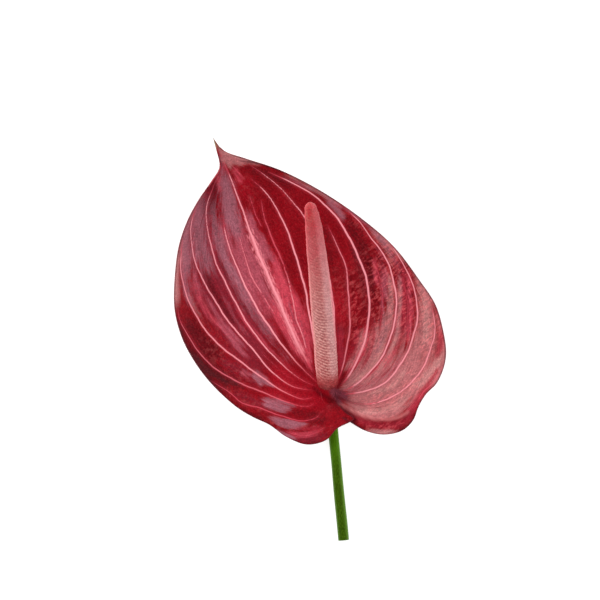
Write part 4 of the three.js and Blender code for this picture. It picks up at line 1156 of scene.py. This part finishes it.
def new_group(name, output, **inputs):
    """an empty group: its nodes, the outputs that carry its inputs, and the node that takes its result"""
    group = bpy.data.node_groups.new(name, "ShaderNodeTree")
    group.interface.new_socket("Place", in_out="INPUT", socket_type="NodeSocketVector")
    for label, value in inputs.items():
        socket = group.interface.new_socket(label, in_out="INPUT", socket_type="NodeSocketFloat")
        socket.default_value = value
    group.interface.new_socket(output, in_out="OUTPUT", socket_type="NodeSocketFloat")
    nodes = Nodes(group)
    return nodes, nodes.add("NodeGroupInput").outputs, nodes.add("NodeGroupOutput")


def new_finish(name, piece):
    """a new material on the piece: its nodes, its shader, and the place on the object"""
    material = bpy.data.materials.new(name)
    material.use_nodes = True
    material.node_tree.nodes.clear()
    nodes = Nodes(material.node_tree)
    shader = nodes.add("ShaderNodeBsdfPrincipled")
    nodes.fill(nodes.add("ShaderNodeOutputMaterial"), Surface=shader.outputs["BSDF"])
    piece.data.materials.append(material)
    return nodes, shader, nodes.add("ShaderNodeTexCoord").outputs["Object"]


print("middle grey in linear light", round(colour(128, 128, 128)[0], 3))

# %% Group: cloudy mottling
inside, taken, given = new_group("plant_mottling", "Mask", Scale=100.0, Low=0.4, High=0.6)
cloud = inside.noise(taken["Place"], Scale=taken["Scale"], Detail=5.0, Roughness=0.6)
inside.fill(given, Mask=inside.ramp(cloud, taken["Low"], taken["High"]))
mottling = inside.tree
print("group", mottling.name)

# %% Group: grain of plant skin
inside, taken, given = new_group("plant_skin_grain", "Height", Cells=2500.0, Unevenness=400.0, Share=0.5)
cells = inside.add("ShaderNodeTexVoronoi", feature="F1")
inside.fill(cells, Vector=taken["Place"], Scale=taken["Cells"])
slow = inside.noise(taken["Place"], Scale=taken["Unevenness"], Detail=3.0)
both = inside.add("ShaderNodeMix", data_type="FLOAT")
inside.fill(both, Factor=taken["Share"], A=cells.outputs["Distance"], B=slow)
inside.fill(given, Height=both.outputs["Result"])
grain = inside.tree
print("group", grain.name)

# %% [markdown]
# The blade's finish is painted in layers: a deep red ground, the strokes with their borders broken up into
# streaks that follow the veins, cross-wrinkles on the right half with painted highlights on their crests and
# painted shade in their furrows, painted light and shade on the fold and the creases, a pale midrib with a
# painted sheen along it, and the pale veins on top with a soft glow beside them. A thin coat gives the wax.
# The under face is paler and duller. Across and along are shares of the blade, so a noise read from them
# runs with the veins wherever they turn.

# %% Blade: streaks that follow the veins, and wrinkles that cross them
WRINKLE_LEAN = 0.7
WRINKLE_SIZE = (0.0034, 0.0012, 1.0)

blade, blade_shader, place = new_finish("waxy_red_blade", spathe)
across_here, along_here, gap_here = (blade.value(name) for name in ("across", "along", "vein_gap"))


def noise_along_veins(along_scale, across_scale, detail):
    stretched = blade.add("ShaderNodeCombineXYZ")
    blade.fill(stretched, X=blade.times(along_here, along_scale), Y=blade.times(across_here, across_scale))
    return blade.noise(stretched.outputs[0], Scale=1.0, Detail=detail, Roughness=0.62)


streaks = noise_along_veins(12.0, 110.0, 6.0)
fibres = noise_along_veins(40.0, 300.0, 5.0)
clouds = blade.group(mottling, Place=place, Scale=70.0, Low=0.3, High=0.7)
flecks = blade.group(mottling, Place=place, Scale=560.0, Low=0.46, High=0.68)
grit = blade.group(mottling, Place=place, Scale=1100.0, Low=0.34, High=0.66)
specks = blade.group(mottling, Place=place, Scale=2300.0, Low=0.45, High=0.65)
leaning = blade.add("ShaderNodeMapping", vector_type="TEXTURE")
blade.fill(leaning, Vector=place, Rotation=(0.0, 0.0, WRINKLE_LEAN), Scale=WRINKLE_SIZE)
wrinkles = blade.noise(leaning.outputs[0], Scale=1.0, Detail=3.0, Roughness=0.6, Distortion=0.9)
wrinkled = blade.times(blade.value("wrinkled"), blade.ramp(gap_here, 0.1, 0.8))
print("noises of the blade", len(blade.tree.nodes))

# %% Blade: ground colour and strokes
PAINTS = {
    "plum": (colour(128, 30, 45), 0.8),
    "bright": (colour(154, 2, 22), 0.95),
    # dark wine red and painted shade
    "dark": (colour(86, 4, 12), 0.8),
    "rose": (colour(210, 72, 90), 0.85),
    # painted sheen
    "orchid": (colour(178, 82, 98), 0.85),
    # dusty pink and painted sheen
    "dusty": (colour(184, 112, 114), 0.9),
    # painted highlight
    "light": (colour(206, 144, 140), 0.6),
    # painted sheen
    "mauve": (colour(160, 97, 111), 0.85),
    "crimson": (colour(162, 34, 50), 0.8),
    # painted shade
    "hollow": (colour(120, 54, 68), 0.85),
    "shade": (colour(74, 26, 30), 0.8),
}
PALE_PAINTS = ("rose", "orchid", "dusty", "mauve")

tone = blade.mix(clouds, colour(122, 0, 10), colour(142, 2, 16))
tone = blade.paint(tone, colour(158, 10, 28), blade.ramp(streaks, 0.5, 0.75), 0.3)
broken = blade.times_plus(streaks, 1.6, -0.82)
for noise, reach in ((clouds, 0.16), (grit, 0.18)):
    broken = blade.maths("ADD", broken, blade.times_plus(noise, reach, -reach / 2))
pale = 0.0
for name, (paint, most) in PAINTS.items():
    mask = blade.value(name + "_paint")
    border = blade.times(broken, blade.times(mask, 4.0, clamp=True))
    laid = blade.ramp(blade.maths("ADD", mask, border), 0.05, 0.95)
    tone = blade.paint(tone, paint, laid, most)
    if name in PALE_PAINTS:
        pale = blade.maths("MAXIMUM", laid, pale)
print("paints laid", len(PAINTS))

# %% Blade: fibres, grit, and painted highlight and shade on the wrinkles, the fold and the creases
fibre_high = blade.times(blade.ramp(fibres, 0.52, 0.72), blade.times_plus(pale, 0.16, 0.03))
fibre_low = blade.times(blade.ramp(fibres, 0.48, 0.30), blade.times_plus(pale, 0.3, 0.06))
tone = blade.paint(tone, colour(220, 122, 128), fibre_high)
tone = blade.paint(tone, colour(132, 20, 34), fibre_low)
tone = blade.paint(tone, colour(196, 90, 92), blade.times(flecks, blade.value("flecked")), 0.26)
# painted highlights on the crests of the cross-wrinkles
tone = blade.paint(tone, colour(196, 92, 94), blade.times(blade.ramp(wrinkles, 0.48, 0.62), wrinkled), 0.4)
tone = blade.paint(tone, colour(236, 178, 180), specks, 0.014)
# painted shade in the furrows of the cross-wrinkles; grit, fibres and specks vary the tone as well
furrows = blade.times_plus(blade.ramp(wrinkles, 0.36, 0.58), 0.54, -0.31)
tone = blade.darken(tone, blade.times(
    blade.times_plus(grit, -0.32, 1.12), blade.times_plus(furrows, wrinkled, 1.0),
    blade.times_plus(fibres, 0.8, 0.6), blade.times_plus(specks, 0.24, 0.92)))
# painted shade below the fold, a painted highlight on its crest and painted shade in the creases
for name, most, paint in (
        ("fold_below", 0.7, colour(120, 14, 28)), ("fold_crest", 0.55, colour(216, 126, 126)),
        ("crease", 0.85, colour(74, 4, 12))):
    tone = blade.paint(tone, paint, blade.value(name), most)
print("fibres, wrinkles and creases laid")

# %% Blade: veins
half_here, strength_here = blade.value("vein_half"), blade.value("vein_power")
line = blade.rest_of(blade.ramp(gap_here, blade.times(half_here, 0.45), blade.times(half_here, 1.35)))
uneven = blade.times_plus(fibres, 1.1, 0.4, clamp=True)
line = blade.times(line, blade.times(strength_here, 1.2, uneven), clamp=True)
glow = blade.times(blade.rest_of(blade.ramp(gap_here, 0.2, 1.4)), strength_here)
tone = blade.paint(tone, colour(206, 70, 88), glow, 0.14)
# the midrib's pale colour with a painted sheen over it, broken into streaks
band = blade.maths("ADD", blade.value("midrib_band"), blade.times_plus(fibres, 2.2, -1.15))
tone = blade.paint(tone, colour(240, 136, 148), blade.ramp(band, 0.3, 0.95), 0.8)
far_paint = blade.mix(blade.ramp(strength_here, 0.66, 0.92), colour(220, 80, 98), colour(252, 158, 168))
to_the_right = blade.fill(blade.add("ShaderNodeSeparateXYZ"), Vector=place).outputs["X"]
distance_here = blade.value("from_junction")
paleness = blade.maths(
    "MAXIMUM", blade.ramp(distance_here, 8.0, 28.0),
    blade.times(blade.ramp(distance_here, 4.0, 13.0), blade.ramp(to_the_right, 0.0075, 0.0115)))
tone = blade.paint(tone, blade.mix(paleness, colour(214, 66, 84), far_paint), line, 0.9)
print("veins laid")

# %% Blade: edge with painted shade, tip and under face
# painted shade: a thin dark line along the blade's edge, where it turns away from the light
edge_line = blade.times(
    blade.rest_of(blade.ramp(blade.value("edge_gap"), 0.1, 0.65)), blade.ramp(along_here, 0.965, 0.93))
tone = blade.paint(tone, colour(78, 28, 36), edge_line, 0.65)
tone = blade.paint(tone, colour(178, 122, 108), blade.ramp(along_here, 0.955, 0.975))
tone = blade.paint(tone, colour(160, 176, 128), blade.ramp(along_here, 0.966, 0.99))
under_here = blade.value("under")
back_tone = blade.mix(clouds, colour(140, 34, 46), colour(164, 56, 66))
back_tone = blade.paint(back_tone, colour(204, 116, 108), line, 0.7)
blade.fill(blade_shader, Base_Color=blade.mix(under_here, tone, back_tone))
print("edge, tip and under face laid")

# %% Blade: gloss and bump
skin = blade.group(grain, Place=place, Cells=2400.0, Unevenness=500.0, Share=0.55)
height = blade.times_plus(skin, 0.35, blade.times(fibres, 0.25))
height = blade.times_plus(blade.times(wrinkles, wrinkled), 0.9, height)
blade.bump(blade_shader, height, strength=0.6, distance=0.00045)
dullness = blade.times_plus(under_here, 0.2, blade.times_plus(grit, 0.08, 0.36))
blade.fill(
    blade_shader, Roughness=dullness, Coat_Weight=0.04, Coat_Roughness=0.22, Specular_IOR_Level=0.26,
    Specular_Tint=(1.0, 0.2, 0.28, 1.0))
print("finish of the blade, nodes", len(blade.tree.nodes))

# %% [markdown]
# The spike changes colour along its length: dusty beige-pink at the base, where the florets are open, pink
# in the middle and coral red at the smooth tip, where they are still closed. Each floret has a painted
# highlight above, and painted shade in the seams round it and in a short slit below, all stronger where the
# florets are open. Its right side is painted lighter and its middle darker, as light and shade, and its two
# flanks, where one looks along the florets, are lit pink with painted light. It has no wax, so it is rougher
# than the blade.

# %% Spike: colours along its length
TONES_ALONG = [
    (0.0, (104, 10, 18)), (0.045, (122, 20, 26)), (0.068, (152, 44, 47)), (0.09, (170, 68, 68)),
    (0.125, (183, 99, 97)), (0.19, (189, 110, 107)), (0.29, (192, 124, 121)), (0.42, (186, 121, 119)),
    (0.54, (190, 108, 108)), (0.66, (184, 88, 92)), (0.79, (182, 74, 82)), (0.92, (180, 44, 51)),
    (1.0, (198, 56, 62)),
]

spike, spike_shader, place = new_finish("pink_florets", spadix)
share_here, dome_here = spike.value("share"), spike.value("dome")
calm_here, side_here = spike.value("calm"), spike.value("side")
broken_border = spike.group(mottling, Place=place, Scale=700.0, Low=0.3, High=0.7)
tones = spike.add("ShaderNodeValToRGB")
for number, (at, paint) in enumerate(TONES_ALONG):
    stop = tones.color_ramp.elements[number] if number < 2 else tones.color_ramp.elements.new(at)
    stop.position, stop.color = at, (*colour(*paint), 1)
spike.fill(tones, Fac=spike.maths("ADD", share_here, spike.times_plus(broken_border, 0.05, -0.032)))
tone = tones.outputs["Color"]
print("tones along the spike", len(TONES_ALONG))

# %% Spike: florets, from the body colour to the slits
# painted shade in the seams between the florets
seam_mask = spike.rest_of(spike.ramp(dome_here, 0.05, 0.6))
open_here = spike.times(calm_here, spike.ramp(share_here, 0.8, 0.2))
above_base = spike.ramp(share_here, 0.08, 0.16)
lower_half = spike.ramp(share_here, 0.95, 0.5)
# painted highlight on the upper part of each open floret
floret_top = spike.times(spike.ramp(spike.value("lean"), -0.05, 0.4), open_here, above_base)
# painted light on the spike's right side and painted shade down its middle
right_side = spike.times(spike.ramp(side_here, 0.05, 0.6), above_base)
dark_middle = spike.times(spike.ramp(side_here, -0.6, -0.25), spike.ramp(side_here, 0.4, 0.0))


def two_paints(upper, lower):
    """one paint for the upper part of the spike and one for the lower part"""
    return spike.mix(lower_half, colour(*upper), colour(*lower))


tone = spike.paint(tone, colour(214, 152, 144), spike.times(spike.value("each"), above_base), 0.2)
tone = spike.paint(tone, two_paints((206, 96, 104), (214, 165, 166)), right_side, 0.55)
tone = spike.paint(tone, two_paints((160, 40, 48), (150, 78, 76)), dark_middle, 0.36)
tone = spike.paint(tone, colour(240, 184, 176), floret_top, 0.44)
tone = spike.paint(tone, colour(138, 60, 58), spike.times(seam_mask, open_here), 0.27)
# painted shade in the short slit below each floret, less of it on the upper right
slit_mask = spike.times(spike.value("slit"), spike.times_plus(open_here, 0.62, 0.2), clamp=True)
upper_right = spike.maths("SUBTRACT", spike.ramp(side_here, 0.0, 0.6), spike.ramp(side_here, 0.88, 0.96))
slit_mask = spike.times(slit_mask, spike.times_plus(upper_right, -0.7, 1.0))
tone = spike.paint(tone, colour(116, 46, 44), slit_mask)
print("florets painted")

# %% Spike: blotches, grit and lit flanks
blotches = spike.group(mottling, Place=place, Scale=420.0, Low=0.34, High=0.66)
grit = spike.group(mottling, Place=place, Scale=1800.0, Low=0.34, High=0.66)
tone = spike.paint(tone, colour(156, 50, 57), blotches, 0.26)
tone = spike.darken(tone, spike.times_plus(grit, -0.34, 1.17))
plain_skin = spike.times(spike.times_plus(slit_mask, -0.9, 1.0), spike.times_plus(seam_mask, -0.5, 1.0))
left_flank = spike.times(spike.ramp(side_here, -0.78, -0.94), above_base, plain_skin)
low_part = spike.times(spike.ramp(share_here, 0.2, 0.3), spike.ramp(share_here, 0.74, 0.64))
flank_most = spike.times_plus(low_part, 0.42, spike.times(above_base, 0.15))
right_flank = spike.times(spike.ramp(side_here, 0.84, 0.94), flank_most, plain_skin)
tone = spike.paint(tone, two_paints((226, 96, 104), (246, 160, 160)), left_flank, 0.74)
tone = spike.paint(tone, two_paints((204, 88, 96), (248, 156, 162)), right_flank)
print("flanks painted")

# %% Spike: roughness and bump
skin = spike.group(grain, Place=place, Cells=5200.0, Unevenness=1500.0, Share=0.5)
spike.bump(spike_shader, skin, strength=0.4, distance=0.00012)
dullness = spike.times_plus(seam_mask, 0.2, 0.5)
spike.fill(spike_shader, Base_Color=tone, Roughness=dullness, Specular_IOR_Level=0.14)
print("finish of the spike, nodes", len(spike.tree.nodes))

# %% [markdown]
# The stem is fresh green with long pale and dark streaks, a little yellower where it nears the blade and
# flushed red where it goes through. The cut face shows a pale watery core with vessels as small dots. A
# streak has to close on itself round the stem, so its noise is read from the sine and cosine of the turn.

# %% Stem: green skin with streaks and a red flush
green, stem_shader, place = new_finish("green_stalk", stem)
share_here = green.value("share")
turned = green.times(green.value("turn"), 2 * math.pi)
side_here = green.maths("COSINE", turned)
streak_place = green.add("ShaderNodeCombineXYZ")
green.fill(streak_place, X=green.times(share_here, 9.0), Y=green.maths("SINE", turned), Z=side_here)
streaks = green.noise(streak_place.outputs[0], Scale=7.0, Detail=3.0)
clouds = green.group(mottling, Place=place, Scale=160.0, Low=0.35, High=0.65)
tone = green.mix(green.ramp(streaks, 0.38, 0.62), colour(36, 62, 0), colour(60, 94, 6))
tone = green.paint(tone, colour(40, 62, 0), clouds, 0.25)
# painted light: the stem's two flanks are lighter than its top, the right one most
tone = green.paint(tone, colour(92, 134, 36), green.ramp(side_here, 0.3, 0.9), 0.7)
tone = green.paint(tone, colour(78, 118, 10), green.ramp(side_here, -0.5, -0.95), 0.5)
tone = green.paint(tone, colour(72, 128, 4), green.ramp(share_here, 0.4, 0.62), 0.55)
tone = green.paint(tone, colour(150, 20, 34), green.ramp(share_here, 0.84, 0.93))
print("stem streaked")

# %% Stem: cut face, roughness and bump
vessels = green.fill(
    green.add("ShaderNodeTexVoronoi", feature="F1"), Vector=place, Scale=1500.0).outputs["Distance"]
cut_tone = green.mix(green.ramp(vessels, 0.2, 0.4), colour(112, 138, 62), colour(190, 204, 140))
bark = green.ramp(green.value("from_core"), 0.8, 0.93)
cut_tone = green.paint(cut_tone, colour(72, 112, 24), bark)
tone = green.mix(green.value("cut"), tone, cut_tone)
skin = green.group(grain, Place=place, Cells=3600.0, Unevenness=700.0, Share=0.4)
green.bump(stem_shader, green.times_plus(skin, 0.4, streaks), strength=0.35, distance=0.0002)
green.fill(
    stem_shader, Base_Color=tone, Roughness=green.times_plus(streaks, 0.12, 0.36), Specular_IOR_Level=0.2,
    Specular_Tint=(0.8, 1.0, 0.2, 1.0))
print("finish of the stem, nodes", len(green.tree.nodes))

# %% [markdown]
# The photograph was lit softly from all round, with no hard shadow. A pale table, an even sky for the matte
# light and two large soft panels at the sides do the same. The sky is kept dark for mirror-like rays, or the
# wax would turn the flat red parts milky; the panels make the real sheen where the blade tilts, over the
# sheen painted into the blade's colour.

# %% Table
TABLE_REACH = 3.0
TABLE_DROP = 0.0002
TABLE_TONES = ((0.50, 0.50, 0.50), (0.51, 0.51, 0.51))
WHITE = (1.0, 1.0, 1.0, 1.0)

table_mesh = bpy.data.meshes.new("pale_table")
corners = [(x * TABLE_REACH, y * TABLE_REACH, -TABLE_DROP) for x, y in ((-1, -1), (1, -1), (1, 1), (-1, 1))]
table_mesh.from_pydata(corners, [], [(0, 1, 2, 3)])
table = put_in_scene("pale_table", table_mesh)
table_paint, table_shader, place = new_finish("pale_table_paint", table)
clouds = table_paint.group(mottling, Place=place, Scale=3.0, Low=0.3, High=0.7)
table_paint.fill(
    table_shader, Base_Color=table_paint.mix(clouds, *TABLE_TONES), Roughness=0.9, Specular_IOR_Level=0.1,
    Emission_Color=WHITE, Emission_Strength=0.78)
print("table", 2 * TABLE_REACH, "m wide")

# %% Sky
SKY_LIGHT = 0.72
SKY_IN_MIRROR = 0.06

world = bpy.data.worlds.new("soft_sky")
world.use_nodes = True
world.node_tree.nodes.clear()
bpy.context.scene.world = world
sky = Nodes(world.node_tree)
mirror_ray = sky.add("ShaderNodeLightPath").outputs["Is Glossy Ray"]
light = sky.times_plus(mirror_ray, SKY_IN_MIRROR - SKY_LIGHT, SKY_LIGHT)
even_light = sky.fill(sky.add("ShaderNodeBackground"), Color=WHITE, Strength=light)
sky.fill(sky.add("ShaderNodeOutputWorld"), Surface=even_light.outputs[0])
print("sky", world.name)

# %% Soft panels
PANEL_WIDTH = 1.1


def soft_panel(name, place_m, watts, tint):
    """a square lamp that faces the middle of the table"""
    data = bpy.data.lights.new(name, "AREA")
    data.shape, data.size, data.energy, data.color = "SQUARE", PANEL_WIDTH, watts, tint
    panel = put_in_scene(name, data)
    panel.location = place_m
    toward = -np.array(place_m)
    flat = math.hypot(toward[0], toward[1])
    panel.rotation_euler = (math.atan2(flat, -toward[2]), 0, math.atan2(toward[0], -toward[1]) + math.pi)


soft_panel("left_panel", (-1.1, 0.7, 1.1), 16.0, (1.0, 0.99, 0.97))
soft_panel("right_panel", (1.2, -0.2, 1.2), 8.0, (0.97, 0.98, 1.0))
bpy.context.scene.view_settings.view_transform = "Standard"

# %% [markdown] The pieces keep to the frame's box to a fifth of a millimetre.
